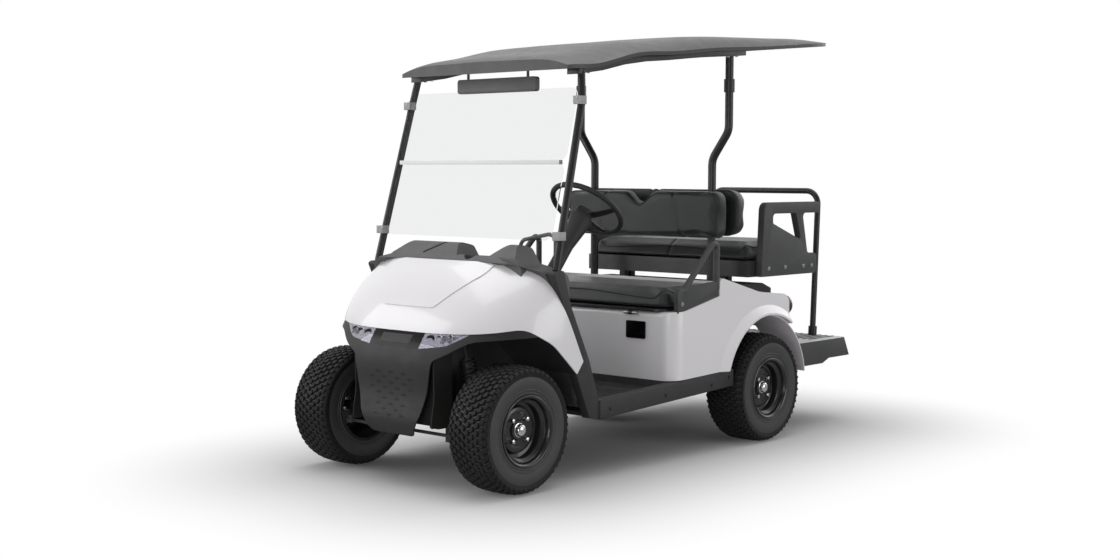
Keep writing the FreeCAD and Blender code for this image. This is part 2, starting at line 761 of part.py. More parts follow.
def front_liners():
    """The curved sheets over the front wheels, joined by splash panels and a shield in the nose."""
    edge = arch_edge()[2:]
    lead = (-SPLASH_REAR, FASCIA_WING_HEIGHT + FASCIA_CORNER * 2)
    upper = [lead] + [(corner[0], corner[1] + LINER_TUCK) for corner in edge]
    lower = [(y, z - LINER_SHEET * 1.4) for y, z in reversed(upper)]
    band = prism("yz", upper + lower, LINER_INNER - LINER_SHEET, BODY_HALF_WIDTH)
    inset = PANEL + SEAT_GAP
    band = band.common(hood_form(inset)).common(fascia_form(inset))
    wall = [(-SPLASH_FRONT, SPLASH_FOOT), (-SPLASH_REAR, SPLASH_FOOT), lead,
            (-SPLASH_FRONT, FASCIA_WING_HEIGHT)]
    panel = prism("yz", wall, LINER_INNER - LINER_SHEET, LINER_INNER).common(fascia_form(inset))
    shield = block(0, LINER_INNER, -SHIELD_REACH, LINER_SHEET - SHIELD_REACH, SPLASH_FOOT,
                   FASCIA_WING_HEIGHT - LINER_SHEET).common(fascia_form(inset))
    liner = fused([band, panel, shield])
    for neighbour in (floor_pan(), pillar_trims(), headlamp_bowls(), chassis()):
        liner = liner.cut(neighbour)
    left = largest(liner)
    return largest(fused([left, mirrored(left)]))


def rear_liners():
    """The curved sheets over the rear wheels."""
    radius = REAR_ARCH_RADIUS - LINER_SHEET
    liner = arc_liner(WHEELBASE, radius, 8, 158, WHEEL_ROOM_INNER, BODY_HALF_WIDTH)
    return both_sides(liner)


# Dashboard and controls

def dashboard():
    """The moulded dashboard with a raised pod before each seat."""
    lip = DASH_CROWN - COWL_TOP
    edge = cowl_edge()
    face_y = COWL_HAUNCH_BACK + DASH_DEPTH / 2
    corners = [(TOE_HEAD - FLOOR_SHEET, DASH_BOTTOM), edge[1], edge[2], edge[3],
               (edge[3][0] + lip, DASH_CROWN, lip),
               (edge[3][0] + DASH_DEPTH, DASH_CROWN - lip, lip * 2),
               (face_y, COWL_SHOULDER_HEIGHT - lip, lip * 2), (face_y, DASH_BOTTOM, lip)]
    body = prism("yz", corners, -DASH_HALF_WIDTH, DASH_HALF_WIDTH)
    crown = [(-DASH_HALF_WIDTH, DASH_BOTTOM), (DASH_HALF_WIDTH, DASH_BOTTOM),
             (DASH_HALF_WIDTH, DASH_CROWN - DASH_END_DROP, lip),
             (DASH_HALF_WIDTH * 0.55, DASH_CROWN, DASH_HALF_WIDTH),
             (-DASH_HALF_WIDTH * 0.55, DASH_CROWN, DASH_HALF_WIDTH),
             (-DASH_HALF_WIDTH, DASH_CROWN - DASH_END_DROP, lip)]
    body = body.common(prism("xz", crown, 0, NOSE_BACK))
    pods = [pod(-PASSENGER_POD_OUTER, PASSENGER_POD_REACH),
            pod(DRIVER_POD_INNER, DASH_HALF_WIDTH - DRIVER_POD_END)]
    left_bin = dash_bin(BIN_OUTER)
    cup_x = (PASSENGER_POD_REACH + DRIVER_POD_INNER) / 2
    body = fused([body] + pods).cut(left_bin).cut(mirrored(left_bin))
    for back in (COWL_SHOULDER_BACK - CUP_RADIUS, COWL_SHOULDER_BACK + CUP_RADIUS + CUP_WALL):
        body = body.cut(rod(V(cup_x, back, DASH_CROWN - CUP_DEPTH),
                            V(cup_x, back, DASH_CROWN + OVERRUN), CUP_RADIUS))
    loop = tube([V(x, LOOP_BACK, z) for x, z in LOOP_PLACES], LOOP_RADIUS, LOOP_BEND)
    nose = hood_form(0.0).common(above_arch())
    return largest(fused([body, loop]).cut(nose))


def dash_bin(outer):
    """The open bin in the dashboard's rear face on the cart's left."""
    inner = outer - BIN_WIDTH
    corners = [(inner, BIN_FLOOR, BIN_CORNER), (outer, BIN_FLOOR, BIN_CORNER),
               (outer, BIN_FLOOR + BIN_HEIGHT, BIN_CORNER), (inner, BIN_FLOOR + BIN_HEIGHT, BIN_CORNER)]
    face_y = COWL_HAUNCH_BACK + DASH_DEPTH / 2
    return prism("xz", corners, face_y - BIN_DEPTH, face_y + OVERRUN)


def pod(x0, x1):
    """A raised hood on the dashboard between two places across it."""
    y0 = COWL_TOP_BACK + PANEL * 6
    bottom = DASH_CROWN - POD_RISE * 2
    slope = POD_RISE * 1.1
    side = [(y0, bottom), (y0, DASH_CROWN - PANEL), (y0 + slope, DASH_CROWN + POD_RISE, slope),
            (y0 + POD_DEPTH, DASH_CROWN + POD_RISE * 0.6, PANEL * 2), (y0 + POD_DEPTH, bottom)]
    front = [(x0, bottom), (x0, DASH_CROWN - POD_RISE),
             (x0 + slope * 2.4, DASH_CROWN + POD_RISE, slope),
             (x1 - slope * 1.3, DASH_CROWN + POD_RISE, slope), (x1, DASH_CROWN - POD_RISE),
             (x1, bottom)]
    return prism("yz", side, x0, x1).common(prism("xz", front, y0, y0 + POD_DEPTH))


def column_point(distance):
    """A point on the steering column's axis, measured from the wheel's centre towards the driver."""
    return STEERING_CENTRE + COLUMN_AXIS * distance


def steering_column():
    """The column tube and its shroud, bored at the top for the wheel's shaft."""
    top = -STEERING_DISH - STEERING_HUB_DEPTH / 2 - AXIAL_CLEARANCE
    low = -(STEERING_BACK - COWL_HAUNCH_BACK) / COLUMN_AXIS.y
    column = rod(column_point(low), column_point(top - SHROUD_LENGTH / 2), COLUMN_RADIUS)
    shroud = cone(column_point(top - SHROUD_LENGTH), column_point(top), COLUMN_RADIUS, COLUMN_SHROUD)
    bore = rod(column_point(top - SHAFT_LENGTH), column_point(top + OVERRUN),
               SHAFT_RADIUS + RUNNING_CLEARANCE)
    whole = fused([column, shroud]).cut(bore)
    return largest(whole.cut(dashboard()).cut(floor_pan()))


def steering_wheel():
    """The rim, three spokes, the hub and its shaft."""
    rim = Part.makeTorus(STEERING_RADIUS, STEERING_RIM, STEERING_CENTRE, COLUMN_AXIS)
    hub_low = column_point(-STEERING_DISH - STEERING_HUB_DEPTH / 2)
    hub_high = column_point(-STEERING_DISH + STEERING_HUB_DEPTH / 2)
    hub = rod(hub_low, hub_high, STEERING_HUB)
    shaft = rod(column_point(-STEERING_DISH - STEERING_HUB_DEPTH / 2 - SHAFT_LENGTH + AXIAL_CLEARANCE * 2),
                hub_high, SHAFT_RADIUS)
    spokes = []
    across = V(1, 0, 0)
    up = COLUMN_AXIS.cross(across)
    for angle in (0, 90, 180):
        turn = math.radians(angle)
        out = across * math.cos(turn) + up * math.sin(turn)
        spokes.append(rod(column_point(-STEERING_DISH), STEERING_CENTRE + out * STEERING_RADIUS,
                          SPOKE_THICKNESS))
    return fused([rim, hub, shaft] + spokes)


def pedals():
    """The brake and go pedals on their stalks, standing off the toe board."""
    toe = V(0, TOE_HEAD - TOE_FOOT, DASH_BOTTOM - FLOOR_TOP)
    share = PEDAL_RISE / (DASH_BOTTOM - FLOOR_TOP)
    out = V(0, toe.z, -toe.y)
    out.normalize()
    along = V(toe)
    along.normalize()
    pieces = []
    for x in (BRAKE_PEDAL_X, GO_PEDAL_X):
        foot = V(x, TOE_FOOT, FLOOR_TOP) + toe * (share + 0.25)
        stalk = rod(foot, foot + out * PEDAL_STALK, PEDAL_STALK_RADIUS)
        centre = foot + out * PEDAL_STALK
        corners = [centre + along * (PEDAL_HEIGHT / 2), centre - along * (PEDAL_HEIGHT / 2)]
        corners += [corners[1] + out * PEDAL_THICKNESS, corners[0] + out * PEDAL_THICKNESS]
        face = Part.Face(Part.makePolygon(corners + [corners[0]]))
        face.translate(V(-PEDAL_WIDTH / 2, 0, 0))
        pieces.append(fused([stalk.cut(floor_pan()), face.extrude(V(PEDAL_WIDTH, 0, 0))]))
    return Part.makeCompound(pieces)


# Rear body

def body_profile(inset):
    """The rear body in side view, shrunk by an inset."""
    front = SEAT_FRONT_Y + inset
    hump = WHEELBASE - HUMP_FRONT
    return [(front, BODY_BOTTOM - (OVERRUN if inset else 0)), (front, SEAT_BOX_TOP - inset, BODY_EDGE),
            (front + BODY_CORNER, SEAT_BOX_TOP - inset, BODY_CORNER * 4),
            (hump + inset, SEAT_BOX_TOP + SEAT_BOX_RISE - inset),
            (hump + inset, HUMP_HEIGHT - inset, BODY_EDGE),
            (WHEELBASE - FENDER_CREST_FRONT, FENDER_CREST_HEIGHT - inset, BODY_CORNER * 4),
            (WHEELBASE + FENDER_TAIL, FENDER_TAIL_HEIGHT - inset, BODY_CORNER),
            (WHEELBASE + BODY_TAIL - inset, BODY_TAIL_HEIGHT + BODY_CORNER, BODY_CORNER),
            (WHEELBASE + BODY_TAIL - inset, BODY_BOTTOM - (OVERRUN if inset else 0))]


def body_plan(inset):
    """The rear body seen from above, shrunk by an inset."""
    half = BODY_HALF_WIDTH - inset
    front = SEAT_FRONT_Y + inset
    rear = WHEELBASE + BODY_TAIL - inset
    return [(-half, front, BODY_CORNER), (half, front, BODY_CORNER),
            (half, rear, BODY_TAIL_CORNER), (-half, rear, BODY_TAIL_CORNER)]


def body_form(inset):
    """The rear body as a full block, shrunk by an inset."""
    half = BODY_HALF_WIDTH + OVERRUN
    side = prism("yz", body_profile(inset), -half, half)
    low = BODY_BOTTOM - OVERRUN * 2
    form = side.common(prism("xy", body_plan(inset), low, HUMP_HEIGHT + OVERRUN))
    recess = CUSHION_HALF_WIDTH + CUSHION_GAP + inset
    rear = CUSHION_REAR_Y + CUSHION_GAP + inset
    return form.cut(block(-recess, recess, SEAT_FRONT_Y - OVERRUN, rear, SEAT_BOX_TOP - inset,
                          HUMP_HEIGHT + OVERRUN))


def rear_arch(radius, x0, x1):
    """The round space about a rear wheel, open downwards."""
    return Part.makeCylinder(radius, x1 - x0, V(x0, WHEELBASE, AXLE_HEIGHT), V(1, 0, 0))


def fender_flare():
    """The raised lip around the left rear wheel arch."""
    skin = BODY_HALF_WIDTH - BODY_SKIN
    edge = BODY_HALF_WIDTH + FLARE_WIDTH
    profile = [(skin, REAR_ARCH_RADIUS), (edge, REAR_ARCH_RADIUS), (edge, REAR_ARCH_RADIUS + FLARE_LIP),
               (BODY_HALF_WIDTH, REAR_ARCH_RADIUS + FLARE_RISE), (skin, REAR_ARCH_RADIUS + FLARE_RISE)]
    ring = revolved(profile, V(0, WHEELBASE, AXLE_HEIGHT))
    side = prism("yz", body_profile(0.0), 0, edge + OVERRUN)
    front = WHEELBASE - REAR_ARCH_RADIUS - FLARE_RISE
    reach = block(0, edge + OVERRUN, front, WHEELBASE + BODY_TAIL - BODY_TAIL_CORNER, BODY_BOTTOM,
                  HUMP_HEIGHT)
    return largest(ring.common(side).common(reach))


def rear_body():
    """The painted seat box and rear fenders, open below and between the wheels."""
    shell = body_form(0.0).cut(body_form(BODY_SKIN))
    flare = fender_flare()
    shell = fused([shell, flare, mirrored(flare)])
    wide = BODY_HALF_WIDTH + OVERRUN
    shell = shell.cut(rear_arch(REAR_ARCH_RADIUS, -wide, wide))
    shell = shell.cut(prism("yz", rocker_profile(), -wide, wide))
    rear_mouth = block(-WHEEL_ROOM_INNER, WHEEL_ROOM_INNER, WHEELBASE, WHEELBASE + BODY_TAIL + OVERRUN,
                       BODY_BOTTOM - OVERRUN, BODY_TAIL_HEIGHT - BODY_CORNER)
    return largest(shell.cut(rear_mouth))


def charge_port_cover():
    """The square cover on the seat box's front."""
    front = SEAT_FRONT_Y - PORT_THICKNESS
    half = PORT_WIDTH / 2
    corners = [(PORT_X - half, PORT_HEIGHT - PORT_TALL / 2, PANEL),
               (PORT_X + half, PORT_HEIGHT - PORT_TALL / 2, PANEL),
               (PORT_X + half, PORT_HEIGHT + PORT_TALL / 2, PANEL),
               (PORT_X - half, PORT_HEIGHT + PORT_TALL / 2, PANEL)]
    return prism("xz", corners, front, SEAT_FRONT_Y)


def rear_deck():
    """The dark cover on top of the body under the rear seat."""
    top = [(WHEELBASE - STRUT_FRONT + STRUT_RADIUS * 2, REAR_PAN_BOTTOM - REAR_LEG),
           (WHEELBASE + FENDER_TAIL - BODY_CORNER, REAR_PAN_BOTTOM - REAR_LEG)]
    corners = top + [(WHEELBASE + FENDER_TAIL, REAR_PAN_BOTTOM - REAR_LEG - DECK_THICKNESS * 2),
                     (WHEELBASE + FENDER_TAIL, BODY_TAIL_HEIGHT + BODY_CORNER),
                     (WHEELBASE - STRUT_FRONT + STRUT_RADIUS * 2, BODY_TAIL_HEIGHT + BODY_CORNER)]
    deck = prism("yz", corners, -DECK_HALF, DECK_HALF)
    return deck.cut(body_form(0.0))


def tail_lamps():
    """The round tail lamps on the body's rear corners."""
    y = WHEELBASE + BODY_TAIL
    lamp = Part.makeCylinder(TAIL_LAMP_RADIUS, TAIL_LAMP_DEPTH,
                             V(TAIL_LAMP_X, y - TAIL_LAMP_DEPTH, TAIL_LAMP_HEIGHT),
                             V(0, 1, 0))
    bulge = Part.makeCylinder(TAIL_LAMP_RADIUS, TAIL_LAMP_DEPTH, V(TAIL_LAMP_X, y, TAIL_LAMP_HEIGHT),
                              V(0, 1, 0))
    return both_sides(largest(fused([lamp, bulge]).cut(body_form(0.0))))


# Seats

def seat_cushion():
    """The front cushion as a plain padded block."""
    front = SEAT_FRONT_Y - CUSHION_OVERHANG
    rear = CUSHION_REAR_Y
    half = CUSHION_HALF_WIDTH
    low = BOARD_BOTTOM + BOARD_THICKNESS
    plan = [(-half, front, CUSHION_CORNER), (half, front, CUSHION_CORNER),
            (half, rear, CUSHION_CORNER), (-half, rear, CUSHION_CORNER)]
    side = [(front, low), (front, low + CUSHION_THICKNESS, CUSHION_THICKNESS / 3),
            (rear, low + CUSHION_THICKNESS, CUSHION_THICKNESS / 4), (rear, low)]
    return prism("xy", plan, low, low + CUSHION_THICKNESS).common(prism("yz", side, -half, half))


def seat_board():
    """The board under the front cushion with its two moving hinge leaves."""
    front = hinge_y() - HINGE_LEAF
    rear = CUSHION_REAR_Y - BOARD_INSET
    half = CUSHION_HALF_WIDTH - BOARD_INSET
    plan = [(-half, front, CUSHION_CORNER), (half, front, CUSHION_CORNER),
            (half, rear, CUSHION_CORNER), (-half, rear, CUSHION_CORNER)]
    pieces = [prism("xy", plan, BOARD_BOTTOM, BOARD_BOTTOM + BOARD_THICKNESS)]
    for side in (-1, 1):
        x0 = side * HINGE_X - HINGE_WIDTH / 6 + HINGE_KNUCKLE_GAP
        x1 = side * HINGE_X + HINGE_WIDTH / 6 - HINGE_KNUCKLE_GAP
        barrel = rod(V(x0, hinge_y(), hinge_z()), V(x1, hinge_y(), hinge_z()), HINGE_BARREL)
        web = block(x0, x1, hinge_y() - HINGE_LEAF / 2, hinge_y() + HINGE_LEAF / 2, hinge_z(),
                    BOARD_BOTTOM + HINGE_LEAF)
        bore = rod(V(x0 - OVERRUN, hinge_y(), hinge_z()), V(x1 + OVERRUN, hinge_y(), hinge_z()),
                   HINGE_PIN + RUNNING_CLEARANCE)
        pieces.append(barrel.fuse(web).cut(bore))
    return fused(pieces)


def hinge_y():
    """How far back the seat hinge's axis lies."""
    return SEAT_FRONT_Y - HINGE_BARREL - HINGE_LEAF


def hinge_z():
    """The height of the seat hinge's axis."""
    return SEAT_BOX_TOP - HINGE_BARREL - HINGE_DROP


def seat_hinges():
    """The fixed hinge knuckles with their pins, on the seat box's front."""
    leaves = []
    for side in (-1, 1):
        centre = side * HINGE_X
        pieces = []
        for end in (-1, 1):
            inner = centre + end * HINGE_WIDTH / 6
            outer = centre + end * HINGE_WIDTH / 2
            x0, x1 = min(inner, outer), max(inner, outer)
            pieces.append(rod(V(x0, hinge_y(), hinge_z()), V(x1, hinge_y(), hinge_z()), HINGE_BARREL))
            pieces.append(block(x0, x1, hinge_y(), SEAT_FRONT_Y, hinge_z() - HINGE_BARREL, hinge_z()))
        pieces.append(rod(V(centre - HINGE_WIDTH / 2, hinge_y(), hinge_z()),
                          V(centre + HINGE_WIDTH / 2, hinge_y(), hinge_z()), HINGE_PIN))
        leaves.append(fused(pieces))
    return Part.makeCompound(leaves)


def backrest_outline():
    """The front backrest seen from the front, notched at its middle."""
    half = BACKREST_HALF_WIDTH
    notch = BACKREST_TOP - NOTCH_DEPTH
    return [(-half, BACKREST_BOTTOM, BACKREST_CORNER), (half, BACKREST_BOTTOM, BACKREST_CORNER),
            (half, BACKREST_TOP, BACKREST_CORNER), (NOTCH_HALF, BACKREST_TOP, BACKREST_CORNER),
            (NOTCH_FLOOR_HALF, notch, BACKREST_CORNER / 2),
            (-NOTCH_FLOOR_HALF, notch, BACKREST_CORNER / 2),
            (-NOTCH_HALF, BACKREST_TOP, BACKREST_CORNER), (-half, BACKREST_TOP, BACKREST_CORNER)]


def front_backrest():
    """The front backrest as a plain padded block before the struts."""
    return prism("xz", backrest_outline(), BACKREST_REAR_Y - BACKREST_THICKNESS, BACKREST_REAR_Y)


def rear_backrest():
    """The rear backrest behind the struts."""
    half = REAR_BACKREST_HALF_WIDTH
    corners = [(-half, REAR_BACKREST_BOTTOM, REAR_BACKREST_CORNER),
               (half, REAR_BACKREST_BOTTOM, REAR_BACKREST_CORNER),
               (half, REAR_BACKREST_TOP, REAR_BACKREST_CORNER),
               (-half, REAR_BACKREST_TOP, REAR_BACKREST_CORNER)]
    return prism("xz", corners, REAR_BACKREST_FRONT_Y, REAR_BACKREST_FRONT_Y + BACKREST_THICKNESS)


def hip_restraints():
    """The side skirts of the front seat, each with a bent guard bar."""
    x0 = CUSHION_HALF_WIDTH + SKIRT_GAP
    x1 = x0 + SKIRT_THICKNESS
    front = SEAT_FRONT_Y + SKIRT_FRONT_INSET
    rear = front + SKIRT_LENGTH
    low = SEAT_BOX_TOP - PANEL
    corners = [(front, low), (rear, low),
               (rear, SEAT_BOX_TOP + SEAT_BOX_RISE + SKIRT_HEIGHT_REAR, PANEL * 3),
               (front, SEAT_BOX_TOP + SKIRT_HEIGHT_FRONT, PANEL * 4)]
    skirt = prism("yz", corners, x0, x1).cut(body_form(0.0))
    x = (x0 + x1) / 2
    foot = SEAT_BOX_TOP + SKIRT_HEIGHT_FRONT - HIP_BAR_RADIUS
    bar = tube([V(x, front + HIP_BAR_FOOT_INSET, foot), V(x, rear - HIP_BAR_RADIUS, HIP_BAR_TOP),
                V(x, rear - HIP_BAR_RADIUS, foot)], HIP_BAR_RADIUS, HIP_BAR_BEND)
    return both_sides(fused([skirt, bar.cut(body_form(0.0))]))


# Windscreen and roof

def post_points(side):
    """The line of a windscreen post, from its foot to the roof."""
    foot = V(side * POST_FOOT_X, POST_FOOT_BACK, TRIM_TOP_HEIGHT)
    head = V(side * POST_HEAD_X, POST_HEAD_BACK, POST_HEAD_HEIGHT)
    top = V(side * POST_TOP_X, POST_TOP_BACK, roof_bottom(POST_TOP_BACK) - ROOF_BEAM_DEPTH)
    return [foot, head, top]


def front_posts():
    """The bent tubes that carry windscreen and roof."""
    points = post_points(1)
    points[-1] = points[-1] + V(0, 0, OVERRUN)
    post = tube(points, POST_RADIUS, POST_BEND)
    return both_sides(largest(post.cut(pillar_trims()).cut(roof_beams())))


def screen_y(height):
    """How far back the screen's middle plane lies at a height."""
    share = (height - TRIM_TOP_HEIGHT) / (POST_HEAD_HEIGHT - TRIM_TOP_HEIGHT)
    return POST_FOOT_BACK + (POST_HEAD_BACK - POST_FOOT_BACK) * share - POST_RADIUS - PANE_GAP


def pane(low, high):
    """A flat pane between two heights in front of the posts."""
    y0, y1 = screen_y(low), screen_y(high)
    corners = [(y0, low), (y1, high), (y1 - PANE_THICKNESS, high), (y0 - PANE_THICKNESS, low)]
    half = PANE_HALF_WIDTH
    front = [(-half, low, PANE_CORNER), (half, low, PANE_CORNER), (half, high, PANE_CORNER),
             (-half, high, PANE_CORNER)]
    sheet = prism("yz", corners, -half, half)
    return sheet.common(prism("xz", front, y0 - OVERRUN, y1 + OVERRUN))


def windscreen_panes():
    """The lower and the upper pane."""
    gap = HINGE_STRIP_HEIGHT / 4
    return Part.makeCompound([pane(PANE_BOTTOM, PANE_HINGE - gap), pane(PANE_HINGE + gap, PANE_TOP)])


def windscreen_fittings():
    """The hinge strip between the panes and the clips that hold them to the posts."""
    y = screen_y(PANE_HINGE)
    strip = block(-HINGE_STRIP_HALF, HINGE_STRIP_HALF, y - PANE_THICKNESS - HINGE_STRIP_DEPTH,
                  y + HINGE_STRIP_DEPTH,
                  PANE_HINGE - HINGE_STRIP_HEIGHT / 2, PANE_HINGE + HINGE_STRIP_HEIGHT / 2)
    pieces = [strip.cut(windscreen_panes())]
    posts = front_posts()
    for height in (CLIP_LOW, CLIP_HIGH):
        y = screen_y(height)
        share = (height - TRIM_TOP_HEIGHT) / (POST_HEAD_HEIGHT - TRIM_TOP_HEIGHT)
        x = POST_FOOT_X + (POST_HEAD_X - POST_FOOT_X) * share
        clip = block(x - CLIP_WIDTH / 2, x + CLIP_WIDTH / 2, y - PANE_THICKNESS - PANE_GAP / 2,
                     y + CLIP_REACH,
                     height - CLIP_HEIGHT / 2, height + CLIP_HEIGHT / 2)
        clip = largest(clip.cut(posts).cut(windscreen_panes()))
        pieces += [clip, mirrored(clip)]
    return Part.makeCompound(pieces)


def roof_height(share):
    """The height of the roof's side edge at a share of its length."""
    stations = ROOF_STATION_SHARES
    for first, second in zip(stations, stations[1:]):
        if share <= second[0]:
            part = (share - first[0]) / (second[0] - first[0])
            rise = first[1] + (second[1] - first[1]) * part
            return ROOF_FRONT_HEIGHT + (ROOF_REAR_HEIGHT - ROOF_FRONT_HEIGHT) * rise
    return ROOF_REAR_HEIGHT


def roof_bottom(y):
    """The height of the roof's lower edge above a place along the cart."""
    rear = WHEELBASE + ROOF_REAR
    return roof_height((y - ROOF_FRONT) / (rear - ROOF_FRONT))


def roof_form(inset, drop):
    """The roof's outer form, shrunk by an inset and lowered by a drop."""
    rear = WHEELBASE + ROOF_REAR
    sections = []
    for along, rise, width, crown in ROOF_STATION_SHARES:
        y = ROOF_FRONT + inset + (rear - ROOF_FRONT - inset * 2) * along
        half = (ROOF_FRONT_HALF + (ROOF_REAR_HALF - ROOF_FRONT_HALF) * along) * width - inset
        low = ROOF_FRONT_HEIGHT + (ROOF_REAR_HEIGHT - ROOF_FRONT_HEIGHT) * rise - drop
        edge = low + ROOF_LIP
        top = edge + ROOF_CROWN * crown
        curve = Part.BSplineCurve()
        curve.interpolate([V(-half, y, edge), V(-half * 0.86, y, edge + (top - edge) * 0.62),
                           V(-half * 0.5, y, top),
                           V(0, y, top + PANEL / 2), V(half * 0.5, y, top),
                           V(half * 0.86, y, edge + (top - edge) * 0.62), V(half, y, edge)])
        sides = [Part.makeLine(V(half, y, edge), V(half, y, low)),
                 Part.makeLine(V(half, y, low), V(-half, y, low)),
                 Part.makeLine(V(-half, y, low), V(-half, y, edge))]
        sections.append(Part.Wire([curve.toShape()] + sides))
    return Part.makeLoft(sections, True, False)


def roof():
    """The moulded roof, hollow underneath."""
    return largest(roof_form(0.0, 0.0).cut(roof_form(ROOF_SKIN, ROOF_SKIN)))


def roof_beams():
    """The two rails under the roof that join posts and struts."""
    start = POST_TOP_BACK - ROOF_BEAM_WIDTH / 2
    end = STRUT_Y + ROOF_BEAM_WIDTH
    steps = 8
    line = []
    for i in range(steps + 1):
        y = start + (end - start) * i / steps
        line.append((y, roof_bottom(y) + ROOF_LIP))
    lower = [(y, z - ROOF_LIP - ROOF_BEAM_DEPTH) for y, z in reversed(line)]
    beam = prism("yz", line + lower, ROOF_BEAM_X - ROOF_BEAM_WIDTH / 2,
                 ROOF_BEAM_X + ROOF_BEAM_WIDTH / 2)
    return both_sides(largest(beam.cut(roof())))


def rear_struts():
    """The bent tubes between the backrests, from the seat box to the roof."""
    top = roof_bottom(STRUT_Y) - ROOF_BEAM_DEPTH
    points = [V(STRUT_LOW_X, STRUT_Y, SEAT_BOX_TOP), V(STRUT_LOW_X, STRUT_Y, STRUT_KINK_LOW),
              V(STRUT_HIGH_X, STRUT_Y, STRUT_KINK_HIGH), V(STRUT_HIGH_X, STRUT_Y, top + OVERRUN)]
    strut = tube(points, STRUT_RADIUS, STRUT_BEND)
    collar = rod(V(STRUT_HIGH_X, STRUT_Y, STRUT_COLLAR_HEIGHT),
                 V(STRUT_HIGH_X, STRUT_Y, STRUT_COLLAR_HEIGHT + STRUT_COLLAR_LENGTH),
                 STRUT_COLLAR_RADIUS)
    whole = fused([strut, collar]).cut(body_form(0.0)).cut(roof_beams())
    return both_sides(largest(whole))


def mirror_bar():
    """The wide rear-view mirror on its stems under the roof."""
    y = ROOF_FRONT + MIRROR_SETBACK
    top = roof_bottom(y) - MIRROR_DROP
    half = MIRROR_HALF_LENGTH
    corners = [(-half, top - MIRROR_HEIGHT, MIRROR_DEPTH / 2),
               (half, top - MIRROR_HEIGHT, MIRROR_DEPTH / 2),
               (half, top, MIRROR_DEPTH / 2), (-half, top, MIRROR_DEPTH / 2)]
    case = prism("xz", corners, y - MIRROR_DEPTH / 2, y + MIRROR_DEPTH / 2)
    stems = []
    for side in (-1, 1):
        foot = V(side * MIRROR_STEM_X, y, top - MIRROR_HEIGHT / 2)
        reach = MIRROR_HEIGHT / 2 + MIRROR_DROP + ROOF_LIP + ROOF_CROWN * 2
        stems.append(rod(foot, foot + V(0, 0, reach), MIRROR_STEM_RADIUS))
    return largest(fused([case] + stems).cut(roof()))


# Rear seat, hoop and platform

def rear_seat_base():
    """The rear seat's pan on its four legs."""
    y0 = WHEELBASE - REAR_SEAT_FRONT
    y1 = WHEELBASE + REAR_SEAT_REAR
    pan = block(-REAR_SEAT_HALF, REAR_SEAT_HALF, y0, y1, REAR_PAN_BOTTOM, PAN_TOP)
    legs = []
    for x in (-REAR_LEG_X, REAR_LEG_X):
        for y in (y0 + REAR_LEG, WHEELBASE + FENDER_TAIL - BODY_CORNER - REAR_LEG * 2):
            legs.append(block(x - REAR_LEG / 2, x + REAR_LEG / 2, y, y + REAR_LEG, BODY_TAIL_HEIGHT,
                              REAR_PAN_BOTTOM))
    return largest(fused([pan] + legs).cut(rear_deck()).cut(body_form(0.0)))


def rear_cushion():
    """The rear cushion as a plain padded block."""
    y0 = WHEELBASE - REAR_SEAT_FRONT + REAR_CUSHION_INSET
    y1 = WHEELBASE + REAR_SEAT_REAR
    half = REAR_SEAT_HALF - REAR_CUSHION_INSET
    low = PAN_TOP
    plan = [(-half, y0, CUSHION_CORNER / 2), (half, y0, CUSHION_CORNER / 2), (half, y1, CUSHION_CORNER),
            (-half, y1, CUSHION_CORNER)]
    side = [(y0, low), (y0, low + REAR_CUSHION_THICKNESS, REAR_CUSHION_THICKNESS / 4),
            (y1, low + REAR_CUSHION_THICKNESS, REAR_CUSHION_THICKNESS / 3), (y1, low)]
    cushion = prism("xy", plan, low, low + REAR_CUSHION_THICKNESS)
    return cushion.common(prism("yz", side, -half, half))


def rear_armrests():
    """The moulded side frames of the rear seat: a box, a loop and a slanted web."""
    x0 = REAR_SEAT_HALF
    x1 = x0 + ARMREST_THICKNESS
    low = REAR_PAN_BOTTOM
    high = ARMREST_TOP - ARMREST_BAR
    front = WHEELBASE + ARMREST_FRONT
    box_rear = WHEELBASE + ARMREST_BOX_REAR
    hole_rear = WHEELBASE + ARMREST_HOLE_REAR
    small = ARMREST_CORNER / 2
    outer = [(front, low), (box_rear, low, small), (box_rear, low + ARMREST_BOX, small),
             (hole_rear + ARMREST_HOLE_SLANT + ARMREST_REAR_LEG, low + ARMREST_BOX, small),
             (hole_rear + ARMREST_REAR_LEG, high, small),
             (WHEELBASE + ARMREST_TOP_REAR, high, small / 2),
             (WHEELBASE + ARMREST_TOP_REAR, ARMREST_TOP, small),
             (WHEELBASE + ARMREST_TOP_FRONT, ARMREST_TOP, ARMREST_CORNER)]
    hole = [(front + ARMREST_LEG, ARMREST_SILL_FRONT, small / 2),
            (hole_rear + ARMREST_HOLE_SLANT, ARMREST_SILL_REAR, small / 2),
            (hole_rear, high, small / 2),
            (front + ARMREST_LEG, high, small)]
    frame = prism("yz", outer, x0, x1).cut(prism("yz", hole, x0 - OVERRUN, x1 + OVERRUN))
    return both_sides(frame)


def hoop_foot_y():
    """How far back the hoop's feet stand."""
    return REAR_EDGE - HOOP_FOOT_INSET


